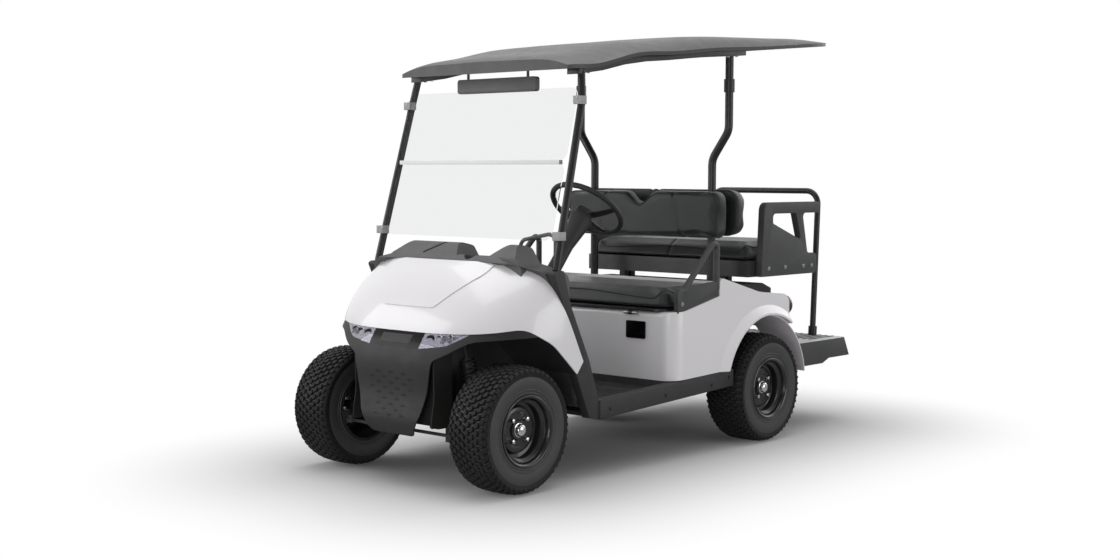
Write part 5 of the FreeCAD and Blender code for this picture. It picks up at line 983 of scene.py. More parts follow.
@dataclass
class Wheel:
    """One wheel: a knobby tyre on a stepped steel rim.

    Attributes:
        corner: which corner of the cart it is on.
        side: plus one on the cart's left.
        lug_count: how many lugs go round in a row.
        lug_height: how far a lug stands over its foot.
        fin_radius: where the shoulder's fins lie.
        fin_reach: how far out they lie.
        fin_lean: how far they lean with the shoulder, in degrees.
        nut_circle: the radius of the ring of nuts.
        nut_reach: how far out the nuts' seats lie.
        nut_count: how many nuts there are.
        valve_angle: where the valve stands, in degrees.
    """

    corner: str
    side: float
    lug_count: int = 50
    lug_height: float = 0.0095
    fin_radius: float = 0.216
    fin_reach: float = 0.0985
    fin_lean: float = 12.0
    nut_circle: float = 0.058
    nut_reach: float = 0.0475
    nut_count: int = 4
    valve_angle: float = 200.0

    def build(self) -> None:
        """Make the tyre and the rim."""
        low, high = box_of(f"{self.corner}_tyre")
        self.centre = (low + high) / 2
        self.body = f"{self.corner}_wheel"
        self.tyre()
        self.rim()

    @staticmethod
    def carcass() -> list[tuple[float, float]]:
        """Give the tyre's section: radius, then distance from its middle plane."""
        half = [*TYRE_OUTSIDE, *((radius, -reach) for radius, reach in reversed(TYRE_OUTSIDE[:-1]))]
        return half + [(radius, -reach) for radius, reach in TYRE_INSIDE] + list(reversed(TYRE_INSIDE[:-1]))

    @staticmethod
    def lug(across: float, along: float, height: float, lean: float = 0.0, drop: float = 0.0) -> Mesh:
        """Draw one tread block with tapered sides.

        Args:
            across: its width across the tyre.
            along: its length round the tyre.
            height: how far it stands.
            lean: how far its top slides round the tyre.
            drop: how far its outer edge falls, on a shoulder block.

        Returns:
            Its mesh, drawn at the origin with +Z outwards.
        """
        corners = ((-0.5, -0.34), (-0.32, -0.5), (0.36, -0.5), (0.5, -0.22), (0.5, 0.34), (0.32, 0.5),
                   (-0.36, 0.5), (-0.5, 0.22))
        rings = []
        for level, shrink in ((-0.35, 1.14), (0.75, 0.98), (1.0, 0.86)):
            rings.append([Vector((across * a * shrink, along * b * shrink + lean * a,
                                  height * level - drop * (a + 0.5))) for a, b in corners])
        return Blank().loft(rings).mesh("lug")

    def ringed(self, mesh: Mesh, lug: Mesh, radius: float, phase: float, reach: float) -> Mesh:
        """Give the tyre with one more ring of lugs, whose phase is a share of the step between lugs."""
        pitch = 2 * math.pi / self.lug_count
        return REPEATS.run(mesh, Layout.ROUND_AXLE, lug, RUBBER, Count=self.lug_count, Radius=radius,
                           Phase=pitch * phase, Place=self.centre + LEFT * reach)

    def tyre(self) -> None:
        """Make the carcass and its rows of lugs."""
        name = f"{self.corner}_tyre_carved"
        mesh = Blank().spin(self.carcass(), self.centre, 96).mesh(name)
        # The carcass takes the sidewall rubber with its painted sheen
        mesh.materials.append(PAINTSHOP.material(SHEEN_PAINTED_SIDEWALL))
        for hand in SIDES:
            for row in LUG_ROWS:
                lug = self.lug(row.across, row.along, self.lug_height, row.lean, row.drop)
                if hand < 0:
                    lug.transform(Matrix.Diagonal((-1.0, 1.0, 1.0, 1.0)))
                    lug.flip_normals()
                phase = row.phase + (0.5 if hand < 0 else 0.0)
                mesh = self.ringed(mesh, lug, row.top - self.lug_height, phase, hand * row.reach)
            for phase, along, height in ((0.0, 0.018, 0.014), (0.5, 0.012, 0.020)):
                fin = self.lug(0.0035, along, height)
                fin.transform(Matrix.Rotation(hand * math.radians(self.fin_lean), 4, "Y"))
                mesh = self.ringed(mesh, fin, self.fin_radius, phase, hand * self.fin_reach)
        piece = fit(name, mesh, None, self.body, [f"{self.corner}_tyre"], 32.0)

    @staticmethod
    def spoke(angle: float) -> Vector:
        """Give the way from the axle at an angle."""
        return Vector((0.0, math.cos(angle), math.sin(angle)))

    def rim(self) -> None:
        """Make the stepped steel rim, its nuts, cap and valve."""
        steel = Blank().spin(RIM_BAND, self.centre, 72, self.side)
        steel.fitted(f"{self.corner}_rim_steel", WHEEL_BLACK, self.body, [f"{self.corner}_rim"], 34.0)
        Blank().spin(HUB_CAP, self.centre, 36, self.side).fitted(f"{self.corner}_hub_cap", BRIGHT, self.body)
        out = LEFT * self.side
        angles = [2 * math.pi * (k + 0.5) / self.nut_count for k in range(self.nut_count)]
        nuts = [(self.centre + out * self.nut_reach + self.spoke(angle) * self.nut_circle, out, angle)
                for angle in angles]
        nut = Blank().stack(WHEEL_NUT, 12).mesh("nut")
        REPEATS.on_places(f"{self.corner}_wheel_nuts", nuts, nut, BRIGHT, self.body)
        spoke = self.spoke(math.radians(self.valve_angle))
        foot = self.centre + spoke * 0.1175 + out * 0.060
        valve = Blank().sweep([foot, foot + out * 0.010 - spoke * 0.004, foot + out * 0.022 - spoke * 0.010],
                              0.0036)
        valve.fitted(f"{self.corner}_valve", RUBBER, self.body)


@dataclass(frozen=True)
class Pad:
    """One padded piece of the seats.

    Attributes:
        node: the node that it stands for.
        body: the body that it rides on.
        held: the way to its flat back.
        shrink: how far its start is drawn in before it swells.
        travel: how far the swelling may move a point.
        fill: how tight it is, from zero to one.
        voxel: the size of its start's even faces.
        pressure: how hard it is blown up.
        soften: how many rounds smooth its start.
        calm: how many rounds even out its swelling.
        hold_depth: how deep the held back reaches.
        frames: how long it swells.
        seam_depth: how deep a sewn channel is pressed in.
        seam_reach: how far beside it the cover is drawn down.
        skin_gap: how far it keeps inside its node's box, where it must.
        rise: how far it may stand out of that box elsewhere.
    """

    node: str
    body: str
    held: Vector
    shrink: float = 0.007
    travel: float = 0.024
    fill: float = 0.75
    voxel: float = 0.0075
    pressure: float = 4.0
    soften: int = 14
    calm: int = 22
    hold_depth: float = 0.012
    frames: int = 20
    seam_depth: float = 0.006
    seam_reach: float = 0.007
    skin_gap: float = 0.0004
    rise: float = 0.006

    def build(self, seams: Sequence[Seam] = ()) -> Object:
        """Make the pad.

        Args:
            seams: functions that give a point's distance from a sewn channel.

        Returns:
            The finished piece.
        """
        start = self.start()
        swollen = self.swell(start)
        self.sew(swollen, seams)
        piece = fit(f"{self.node}_padded", self.settled(swollen), VINYL, self.body, [self.node], 60.0)
        return piece

    def start(self) -> Mesh:
        """Draw the pad in a little and mesh it evenly.

        Returns:
            The mesh that the swelling starts from.
        """
        low, high = box_of(self.node)
        middle, half = (low + high) / 2, (high - low) / 2
        mesh = bpy.data.meshes.new("pad_start")
        with opened(mesh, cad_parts[self.node].data) as form:
            bmesh.ops.remove_doubles(form, verts=form.verts, dist=WELD)
            for vert in form.verts:
                for axis in range(3):
                    reach = vert.co[axis] - middle[axis]
                    vert.co[axis] = middle[axis] + reach * (1.0 - self.shrink / half[axis])
        shell = placed("pad_start", mesh)
        remesh = shell.modifiers.new("even", "REMESH")
        remesh.mode = "VOXEL"
        remesh.voxel_size = self.voxel
        even = frozen(shell)
        with opened(even) as form:
            evened(form, self.soften)
        return even

    def swell(self, start: Mesh) -> Mesh:
        """Blow the pad up as sewn cloth and give the result.

        Args:
            start: its start.

        Returns:
            The swollen mesh.
        """
        shell = placed("pad_cloth", start)
        at_rest = [vert.co.copy() for vert in start.vertices]
        edge = max(point.dot(self.held) for point in at_rest) - self.hold_depth
        hold = shell.vertex_groups.new(name="hold")
        hold.add([i for i, point in enumerate(at_rest) if point.dot(self.held) > edge], 1.0, "REPLACE")
        cloth = shell.modifiers.new("cloth", "CLOTH")
        for name, value in (
                ("quality", 4), ("mass", 0.35), ("tension_stiffness", 14.0), ("compression_stiffness", 14.0),
                ("shear_stiffness", 6.0), ("bending_stiffness", 1.2), ("use_pressure", True),
                ("uniform_pressure_force", self.pressure), ("vertex_group_mass", "hold")):
            setattr(cloth.settings, name, value)
        cloth.settings.effector_weights.gravity = 0.0
        cloth.point_cache.frame_start = 1
        cloth.point_cache.frame_end = self.frames
        scene = bpy.context.scene
        for step in range(1, self.frames + 1):
            scene.frame_set(step)
        swollen = frozen(shell)
        scene.frame_set(1)
        self.calmed(swollen, at_rest)
        return swollen

    def calmed(self, swollen: Mesh, at_rest: Sequence[Vector]) -> None:
        """Even out how far each point of a swollen pad has moved, so that no crease stays.

        Args:
            swollen: the swollen mesh.
            at_rest: where its points started.
        """
        with opened(swollen) as form:
            for vert, place in zip(form.verts, at_rest):
                way = vert.co - place
                vert.co = way if way.length <= self.travel else way.normalized() * self.travel
            evened(form, self.calm)
            for vert, place in zip(form.verts, at_rest):
                vert.co += place

    def sew(self, mesh: Mesh, seams: Sequence[Seam]) -> None:
        """Press the sewn channels into a pad.

        Args:
            mesh: the pad's mesh.
            seams: functions that give a point's distance from a channel.
        """
        normals = [vert.normal.copy() for vert in mesh.vertices]
        for vert, normal in zip(mesh.vertices, normals):
            for seam in seams:
                gap = seam(vert.co)
                vert.co -= normal * (self.seam_depth * math.exp(-(gap / self.seam_reach) ** 2))

    def settled(self, mesh: Mesh) -> Mesh:
        """Keep a pad near its node's box, with its back flat, and refine it once.

        Args:
            mesh: the pad's mesh.

        Returns:
            The refined mesh.
        """
        low, high = box_of(self.node)
        for vert in mesh.vertices:
            for axis in range(3):
                vert.co[axis] = min(max(vert.co[axis], low[axis] + self.skin_gap), high[axis] + self.rise)
                if self.held[axis] > 0:
                    vert.co[axis] = min(vert.co[axis], high[axis] - self.skin_gap)
        shell = placed("pad_fine", mesh)
        fine = shell.modifiers.new("fine", "SUBSURF")
        fine.levels = 1
        fine.render_levels = 1
        made = frozen(shell)
        made.name = f"{self.node}_padded"
        return made


@dataclass(frozen=True)
class Seats:
    """The four padded pieces of the two benches, with their sewn channels and welts.

    Attributes:
        welt_step: from point to point along a welt.
        welt_inset: how far a welt lies inside the pad's outline.
        welt_radius: the piping's radius.
        welt_rounds: how many rounds smooth a welt's run.
        welt_halvings: how often the search for the outline halves its step.
        channel_head: how far from the middle a backrest channel ends at the top.
        channel_flare: how much farther out it starts at the foot.
        channel_bow: how strongly it bows.
        rear_channel: how far from the middle the rear backrest's channels run.
        stitch_count: how many stitches there are in a row.
        stitch_gap: from a channel to a row of stitches.
        stitch_foot: where a row starts, as a share of the backrest's height.
        stitch_run: how far it runs, as a share of that height.
    """

    welt_step: float = 0.012
    welt_inset: float = 0.020
    welt_radius: float = 0.0032
    welt_rounds: int = 6
    welt_halvings: int = 12
    channel_head: float = 0.205
    channel_flare: float = 0.055
    channel_bow: float = 1.6
    rear_channel: float = 0.02
    stitch_count: int = 44
    stitch_gap: float = 0.0085
    stitch_foot: float = 0.07
    stitch_run: float = 0.86

    def build(self) -> None:
        """Make every pad."""
        cushion = Pad("seat_cushion", "front_seat", -UP).build()
        channels = [self.backrest_channel(side) for side in reversed(SIDES)]
        front = Pad("front_backrest", "cart", REAR).build(channels)
        rear = Pad("rear_backrest", "cart", -REAR).build(
            [lambda point: abs(abs(point.x) - self.rear_channel)])
        bench = Pad("rear_cushion", "cart", -UP).build([lambda point: abs(point.x)])
        for piece, way, body in ((cushion, -UP, "front_seat"), (front, REAR, "cart"), (rear, -REAR, "cart"),
                                 (bench, -UP, "cart")):
            self.welt(piece, way, body)
        self.stitches(front, REAR)

    def edge_seat(self, skin: Skin, middle: Vector, reach: Vector, way: Vector) -> Vector | None:
        """Find the welt's seat in one direction, a little inside the pad's outline.

        Args:
            skin: the pad's surface.
            middle: the pad's middle.
            reach: the way from there to the border of its box.
            way: the way from its open face to its held back.

        Returns:
            The place, or none.
        """
        inside, outside = 0.0, 1.0
        for _ in range(self.welt_halvings):
            trial = (inside + outside) / 2
            if skin.hit(middle + reach * trial - way, way):
                inside = trial
            else:
                outside = trial
        pull = max(0.0, inside - self.welt_inset / reach.length)
        hit = skin.hit(middle + reach * pull - way, way)
        return hit[0] if hit else None

    def welt(self, piece: Object, way: Vector, body: str) -> None:
        """Lay the piped welt round a pad's open face.

        Args:
            piece: the finished pad.
            way: the way from its open face to its held back.
            body: the body that it rides on.
        """
        skin = Skin(piece.data)
        up = LEFT.cross(way)
        corners = [Vector(corner) for corner in piece.bound_box]
        middle = sum(corners, Vector()) / 8
        wide = max(abs((corner - middle).dot(LEFT)) for corner in corners)
        tall = max(abs((corner - middle).dot(up)) for corner in corners)
        border = ((-wide, -tall), (wide, -tall), (wide, tall), (-wide, tall))
        path = []
        for i, (a, b) in enumerate(border):
            c, d = border[(i + 1) % 4]
            steps = max(2, round(math.hypot(c - a, d - b) / self.welt_step))
            for share in (step / steps for step in range(steps)):
                reach = LEFT * (a + (c - a) * share) + up * (b + (d - b) * share)
                path.append(self.edge_seat(skin, middle, reach, way))
        path = [point for point in path if point is not None]
        for _ in range(self.welt_rounds):
            path = [(path[i - 1] + point * 2 + path[(i + 1) % len(path)]) / 4 for i, point in enumerate(path)]
        path = [skin.faces.find_nearest(point)[0] or point for point in path]
        Blank().sweep(path, self.welt_radius, 8, True).fitted(f"{piece.name}_welt", THREAD, body)

    def channel_line(self, side: float, rise: float) -> float:
        """Give how far to the left a backrest channel runs at a share of the backrest's height."""
        return side * (self.channel_head + self.channel_flare * (1.0 - rise) ** self.channel_bow)

    def stitches(self, piece: Object, way: Vector) -> None:
        """Sew a row of stitches on each side of the backrest's channels.

        Args:
            piece: the finished backrest.
            way: the way from its open face to its held back.
        """
        low, high = box_of("front_backrest")
        starts = []
        for side in SIDES:
            for hand in SIDES:
                for step in range(self.stitch_count):
                    rise = self.stitch_foot + self.stitch_run * step / (self.stitch_count - 1)
                    line = self.channel_line(side, rise) + hand * self.stitch_gap
                    starts.append((line, low.y - 1.0, low.z + rise * (high.z - low.z)))
        stitch = Blank().block((-0.0008, -0.0028, -0.0006), (0.0008, 0.0028, 0.0008), 0.0005).mesh("stitch")
        REPEATS.on_places("backrest_stitches", Skin(piece.data).seats(starts, way), stitch, SEWN)

    def backrest_channel(self, side: float) -> Seam:
        """Give the distance from the curved channel on one half of the front backrest.

        Args:
            side: plus one on the cart's left.

        Returns:
            The distance function.
        """
        low, high = box_of("front_backrest")

        def gap(point: Vector) -> float:
            """Give a point's distance from the channel."""
            rise = (point.z - low.z) / (high.z - low.z)
            return abs(point.x - self.channel_line(side, rise))

        return gap


LAMP_CUP = ((1.0, 0.0), (0.97, -0.004), (0.8, 0.010), (0.5, 0.018), (0.2, 0.020), (0.2, 0.023),
            (0.9, 0.016), (1.05, 0.001))
LAMP_HOOD = ((0.0215, 0.006), (0.0245, 0.004), (0.0260, 0.010), (0.0250, 0.022), (0.0205, 0.022))
LAMP_RING = ((0.985, 0.004), (1.06, 0.002), (1.10, -0.008), (1.09, -0.030), (0.985, -0.034))
HUB_PAD = ((0.0300, -0.0560), (0.0420, -0.0540), (0.0440, -0.0380), (0.0430, -0.0220), (0.0390, -0.0155),
           (0.0300, -0.0130), (0.0290, -0.0142), (0.0150, -0.0125), (0.0010, -0.0120))
GAUGE_RING = ((0.001, 0.0055), (0.021, 0.0055), (0.0215, 0.0075), (0.0245, 0.0075), (0.0255, 0.0035),
              (0.0255, -0.002), (0.001, -0.002))
DIAL_DISC = ((0.001, 0.0), (0.0205, 0.0), (0.0205, 0.0012), (0.001, 0.0012))
KEY_LOCK = ((0.0025, 0.006), (0.010, 0.006), (0.0125, 0.0035), (0.0125, -0.002), (0.0025, -0.002))


@dataclass(frozen=True)
class Nose:
    """The fascia's vents, the lamps' inner parts and the plate between them.

    Attributes:
        vent_rows: how many rows of slots there are.
        vent_foot: the lowest row's height.
        vent_rise: from row to row.
        vent_pitch: from slot to slot along a row.
        vent_room: how far from the middle slots may lie at the foot.
        vent_spread: how much farther out for each metre up.
        vent_half: half a slot's length and half its width.
        lamp_cups: each reflector cup's distance from the middle, height and radius; the first is the eye.
        cup_inset: how far behind the cover the cups stand.
        hood_inset: how far behind it the eye's hood stands.
        strip_steps: how many pieces make the glowing strip, a painted highlight.
        strip_radius: the strip's radius.
        strip_inset: how far behind the cover it runs.
        rib_count: how many ribs there are behind a cover.
        rib_pitch: from rib to rib.
        rib_inset: how far behind the cover they stand.
        plate_half: half the centre plate's width.
        plate_low: the plate's foot.
        plate_high: its head.
        plate_edge: how far its border stands over the panel.
        plate_rise: how far the rest of it does.
    """

    vent_rows: int = 9
    vent_foot: float = 0.285
    vent_rise: float = 0.0215
    vent_pitch: float = 0.075
    vent_room: float = 0.10
    vent_spread: float = 0.16
    vent_half: tuple[float, float] = (0.0115, 0.0046)
    lamp_cups: tuple[tuple[float, float, float], ...] = (
        (0.185, 0.592, 0.020), (0.232, 0.597, 0.0215), (0.282, 0.604, 0.0185))
    cup_inset: float = 0.011
    hood_inset: float = 0.004
    strip_steps: int = 14
    strip_radius: float = 0.0032
    strip_inset: float = 0.009
    rib_count: int = 18
    rib_pitch: float = 0.0105
    rib_inset: float = 0.0075
    plate_half: float = 0.088
    plate_low: float = 0.577
    plate_high: float = 0.611
    plate_edge: float = 0.0008
    plate_rise: float = 0.0022

    def build(self) -> None:
        """Make the vents, the lamps' insides and the centre plate."""
        self.vents()
        self.lamps()
        self.strip()
        self.centre_panel()

    def vents(self) -> None:
        """Lay rows of small near-black dimples over the fascia's face, painted shade for its vent slots."""
        starts = []
        for row in range(self.vent_rows):
            height = self.vent_foot + row * self.vent_rise
            room = self.vent_room + self.vent_spread * (height - self.vent_foot)
            columns = (-1.5, -0.5, 0.5, 1.5) if row % 2 else (-1.0, 0.0, 1.0)
            starts += [(column * self.vent_pitch, -OUTSIDE, height) for column in columns
                       if abs(column * self.vent_pitch) < room]
        across, along = self.vent_half
        rings = [circle(12, across * scale, along * scale, level)
                 for level, scale in ((-0.003, 1.0), (0.0012, 1.0), (0.0012, 0.72), (-0.0022, 0.6))]
        places = Skin.of("front_fascia").seats(starts, REAR)
        # Near-black dimples: painted shade standing in for the dark of open vent slots
        REPEATS.on_places("fascia_vents", places, Blank().loft(rings).mesh("vent"), LINER)

    def lamps(self) -> None:
        """Make the reflector cups and bulbs behind each headlamp cover, and the eye's hood."""
        skin = Skin.of("headlamp_lenses")
        cups, bulbs, hoods = Blank(), Blank(), Blank()
        for side in SIDES:
            for i, (x, z, radius) in enumerate(self.lamp_cups):
                found = skin.hit((side * x, -OUTSIDE, z), REAR)
                if not found:
                    continue
                face = found[0] + REAR * self.cup_inset
                cups.spin([(radius * out, level) for out, level in LAMP_CUP], face, 24, 1.0, REAR)
                bulb = [(0.0005, -0.001), (radius * 0.24, 0.003), (radius * 0.3, 0.010),
                        (radius * 0.2, 0.0205), (0.0005, 0.0205)]
                bulbs.spin(bulb, face, 16, 1.0, REAR)
                if i == 0:
                    hoods.spin(LAMP_HOOD, found[0] + REAR * self.hood_inset, 28, 1.0, REAR)
        hoods.fitted("headlamp_hoods", GLOSS_BLACK)
        cups.fitted("headlamp_cups", CHROME)
        # The bulbs glow faintly: painted light
        bulbs.fitted("headlamp_bulbs", GLOW_PAINTED_BULB)

    def strip(self) -> None:
        """Make the faintly glowing strip along the foot of each lamp, a painted highlight, and the ribs
        behind its cover.
        """
        skin = Skin.of("headlamp_lenses")
        strips = Blank()
        for side in SIDES:
            starts = []
            for share in (step / self.strip_steps for step in range(self.strip_steps + 1)):
                starts.append((side * (0.255 + 0.105 * share), -OUTSIDE, 0.5785 + 0.038 * share ** 1.3))
            path = [place for place, _, _ in skin.seats(starts, REAR, self.strip_inset)]
            strips.sweep(path, self.strip_radius)
        strips.fitted("headlamp_light_strips", GLOW_PAINTED_BULB)
        starts = [(side * (0.160 + self.rib_pitch * step), -OUTSIDE, 0.611)
                  for side in SIDES for step in range(self.rib_count)]
        rib = Blank().block((-0.0022, -0.0085, -0.002), (0.0022, 0.0085, 0.0015), 0.0008).mesh("rib")
        REPEATS.on_places("headlamp_reflector_ribs", skin.seats(starts, REAR, self.rib_inset), rib, CHROME)

    def centre_panel(self) -> None:
        """Lay the raised bare plate on the panel between the lamps."""
        skin = Skin.of("lamp_centre_panel")
        rows = []
        for level in range(5):
            height = self.plate_low + (self.plate_high - self.plate_low) * level / 4
            row = []
            for step in range(17):
                place, normal = skin.hit((self.plate_half * (step / 8 - 1), -OUTSIDE, height), REAR)
                border = level in (0, 4) or step in (0, 16)
                row.append(place + normal * (self.plate_edge if border else self.plate_rise))
            rows.append(row)
        Blank().loft(rows, closed=False, caps=False).fitted("centre_plate", TRIM)


@dataclass
class SteeringWheel:
    """The hand wheel: a soft rim with finger bumps, three flat spokes and a padded hub.

    Attributes:
        radius: from the axis to the rim's middle.
        rim: the rim's own radius.
        tilt: the column's rise, in degrees.
        dish: how far the hub lies below the rim.
        bumps: how many finger bumps go round.
        rim_steps: how many pieces make the rim.
        rim_sides: how many flats its section has.
    """

    radius: float = 0.162
    rim: float = 0.0125
    tilt: float = 50.0
    dish: float = 0.034
    bumps: int = 30
    rim_steps: int = 240
    rim_sides: int = 14

    def build(self) -> None:
        """Make the wheel."""
        low, high = box_of("steering_wheel")
        rise = math.radians(self.tilt)
        self.axis = Vector((0.0, math.cos(rise), math.sin(rise)))
        self.up = Vector((0.0, -math.sin(rise), math.cos(rise)))
        self.centre = Vector(((low.x + high.x) / 2, high.y - self.radius * math.sin(rise) - self.rim,
                              high.z - self.radius * math.cos(rise) - self.rim))
        self.rim_piece()
        self.spokes()
        self.hub()

    def at(self, angle: float, radius: float, level: float = 0.0) -> Vector:
        """Give a place on the wheel by angle, radius and height along its axis."""
        return (self.centre + LEFT * (radius * math.cos(angle)) + self.up * (radius * math.sin(angle))
                + self.axis * level)

    def rim_piece(self) -> None:
        """Make the rim."""
        rings = []
        for angle in turns(self.rim_steps):
            ring = []
            for turn in turns(self.rim_sides):
                inner = max(0.0, -math.cos(turn))
                size = self.rim * (0.97 + 0.07 * inner * math.sin(angle * self.bumps))
                ring.append(self.at(angle, self.radius + size * math.cos(turn), size * math.sin(turn)))
            rings.append(ring)
        rim = Blank().loft([*rings, rings[0]], True, False)
        rim.fitted("steering_rim", GRIP, "steering_wheel", ["steering_wheel"])

    @staticmethod
    def squared(value: float) -> float:
        """Push a round section's sine or cosine outwards, so that the section becomes boxy."""
        return math.copysign(abs(value) ** 0.6, value)

    def spokes(self) -> None:
        """Make the three spokes."""
        blank = Blank()
        for angle in (0.0, math.pi, -math.pi / 2):
            across = self.at(angle + math.pi / 2, 1.0) - self.centre
            rings = []
            for share in (0.0, 0.15, 0.4, 0.7, 0.92, 1.0):
                middle = self.at(angle, 0.030 + (self.radius - 0.032) * share,
                                 -self.dish * (1.0 - share ** 1.6))
                half = across * (0.021 - 0.007 * share)
                thick = self.axis * (0.0055 - 0.0012 * share)
                rings.append([middle + half * self.squared(math.cos(turn))
                              + thick * self.squared(math.sin(turn)) for turn in turns(12)])
            blank.loft(rings)
        blank.fitted("steering_spokes", POWDER, "steering_wheel")

    def hub(self) -> None:
        """Make the padded hub with its four soft lobes, and the shaft under it."""
        rings = [[self.at(turn, radius * (1.0 + 0.10 * math.cos(4 * turn)), level) for turn in turns(32)]
                 for radius, level in HUB_PAD]
        Blank().loft(rings).fitted("steering_hub_pad", GRIP, "steering_wheel")
        shaft = Blank().sweep([self.at(0.0, 0.0, -0.0540), self.at(0.0, 0.0, -0.112)], 0.0088, 16)
        shaft.fitted("steering_shaft", STEEL, "steering_wheel")


@dataclass(frozen=True)
class Cockpit:
    """The dashboard's switches and trays, the floor mat's ribs, the pedals' pads and the mirror's glass.

    Attributes:
        face_height: the height at which the dashboard's rear face is found.
        plate: the switch plate's left, foot, right and head.
        plate_rise: how far the switches' seats stand over that face.
        gauge: the gauge's distance to the left and height.
        tick_circle: the radius of the ring of marks.
        tick_count: how many marks there are.
        tick_turn: from mark to mark, in degrees.
        tray: a bin's inner side, foot, outer side and head.
        tray_walls: inset and depth of each ring of a tray's walls.
        mat_rib_count: how many ribs the floor mat has.
        mat_pitch: from rib to rib.
        pedals: each pedal's distance to the left.
        pedal_rib_count: how many ribs a pedal has.
        mirror_inset: from the mirror's ends to its glass.
    """

    face_height: float = 0.79
    plate: tuple[float, float, float, float] = (-0.098, 0.744, 0.098, 0.838)
    plate_rise: float = 0.005
    gauge: tuple[float, float] = (-0.055, 0.798)
    tick_circle: float = 0.0165
    tick_count: int = 11
    tick_turn: float = 24.0
    tray: tuple[float, float, float, float] = (0.130, 0.742, 0.440, 0.830)
    tray_walls: Spots = ((0.001, 0.092), (0.001, 0.003), (0.003, 0.003), (0.003, 0.089))
    mat_rib_count: int = 31
    mat_pitch: float = 0.031
    pedals: tuple[float, float] = (0.250, 0.390)
    pedal_rib_count: int = 7
    mirror_inset: float = 0.010

    def build(self) -> None:
        """Make the small parts in front of the driver."""
        face = Skin.of("dashboard").hit((0.0, OUTSIDE, self.face_height), -REAR)[0].y
        front_moulded("switch_plate", panel(*self.plate, 0.010), 0.006, 0.0015, face + 0.002, GLOSS_BLACK)
        self.charge_gauge(face + self.plate_rise)
        self.switches(face + self.plate_rise)
        self.bin_trays(face)
        self.grip_slot()
        self.mat_ribs()
        self.pedal_ribs()
        self.mirror()

    def charge_gauge(self, front: float) -> None:
        """Make the gauge's ring, its dial and the marks on it.

        Args:
            front: where the switches' seats lie, along the cart.
        """
        middle = Vector((self.gauge[0], front, self.gauge[1]))
        Blank().spin(GAUGE_RING, middle, 36, 1.0, REAR).fitted("charge_gauge", POWDER)
        Blank().spin(DIAL_DISC, middle + REAR * 0.0058, 32, 1.0, REAR).fitted("charge_dial", DIAL)
        marks = []
        for k in range(self.tick_count):
            angle = math.radians(-30.0 + self.tick_turn * k)
            place = middle + REAR * 0.0071 + LEFT * (self.tick_circle * math.cos(angle))
            # The mark where the scale starts lies a quarter turn from the others
            spin = angle + math.pi / 2 if k else angle
            marks.append((place + UP * (self.tick_circle * math.sin(angle)), REAR, spin))
        tick = Blank().block((-0.0005, -0.0016, -0.0002), (0.0005, 0.0016, 0.0003)).mesh("tick")
        REPEATS.on_places("charge_ticks", marks, tick, LINER)

    def switches(self, front: float) -> None:
        """Make the lock with its key, the direction rocker and the pilot lamps.

        Args:
            front: where the switches' seats lie, along the cart.
        """
        lock = Blank().spin(KEY_LOCK, Vector((0.064, front, 0.774)), 28, 1.0, REAR)
        lock.fitted("key_lock", BRIGHT)
        key = Blank().block((0.0628, front + 0.003, 0.768), (0.0652, front + 0.030, 0.780), 0.0008)
        key.block((0.0615, front + 0.022, 0.762), (0.0665, front + 0.046, 0.786), 0.0022)
        key.fitted("key", GRIP)
        rocker = Blank().block((-0.012, front - 0.001, 0.770), (0.026, front + 0.004, 0.826), 0.0018)
        rocker.block((-0.007, front + 0.003, 0.777), (0.021, front + 0.0115, 0.819), 0.004)
        rocker.fitted("direction_rocker", TRIM)
        lamps = [(Vector((x, front, 0.816)), REAR, 0.0) for x in (0.064, 0.045)]
        REPEATS.on_places("pilot_lamps", lamps, button_head(0.0035, 0.002), RED_LAMP)

    def bin_trays(self, face: float) -> None:
        """Line the two bins beside the switch plate, so that neither is open at its back.

        Args:
            face: where the dashboard's rear face stands, along the cart.
        """
        trays = Blank()
        inner, foot, outer, head = self.tray
        for side in SIDES:
            rings = []
            for inset, depth in self.tray_walls:
                outline = panel(inner + inset, foot + inset, outer - inset, head - inset, 0.018)
                rings.append([Vector((side * x, face - depth, z)) for x, z in outline])
            trays.loft(rings)
        trays.fitted("dash_bin_trays", TRIM)

    @staticmethod
    def grip_slot() -> None:
        """Lay a near-black bead along the slanted slot across the front of the passenger's pod: painted shade
        for the slot.
        """
        starts = [(-0.138 + 0.091 * step / 8, -OUTSIDE, 0.928 + 0.042 * step / 8) for step in range(9)]
        path = [place for place, _, _ in Skin.of("dashboard").seats(starts, REAR, 0.003)]
        Blank().sweep(path, 0.0055, 10).fitted("pod_grip_slot", LINER)

    def mat_ribs(self) -> None:
        """Lay the raised ribs of the floor mat."""
        starts = [(-0.465 + self.mat_pitch * step, -0.52, 0.5) for step in range(self.mat_rib_count)]
        rib = Blank().block((-0.0045, -0.215, -0.001), (0.0045, 0.270, 0.0022), 0.0012).mesh("mat_rib")
        REPEATS.on_places("floor_mat_ribs", Skin.of("floor_pan").seats(starts, -UP), rib, PAD_RUBBER)

    def pedal_ribs(self) -> None:
        """Lay the rubber ribs on the two pedals."""
        starts = [(x, -0.2, 0.81 + 0.016 * step) for x in self.pedals for step in range(self.pedal_rib_count)]
        seats = Skin.of("pedals").seats(starts, Vector((0.0, -0.8, -0.6)))
        rib = Blank().block((-0.033, -0.0028, -0.001), (0.033, 0.0028, 0.0028), 0.001).mesh("pedal_rib")
        REPEATS.on_places("pedal_ribs", [seat for seat in seats if seat[0].z > 0.33], rib, PAD_RUBBER)

    def mirror(self) -> None:
        """Make the mirror's glass on the side that faces the driver."""
        low, high = box_of("mirror_bar")
        left, right = low.x + self.mirror_inset, high.x - self.mirror_inset
        outline = panel(left, low.z + 0.007, right, low.z + 0.055, 0.010)
        front_moulded("mirror_glass", outline, 0.003, 0.001, high.y + 0.0004, MIRROR_GLASS)


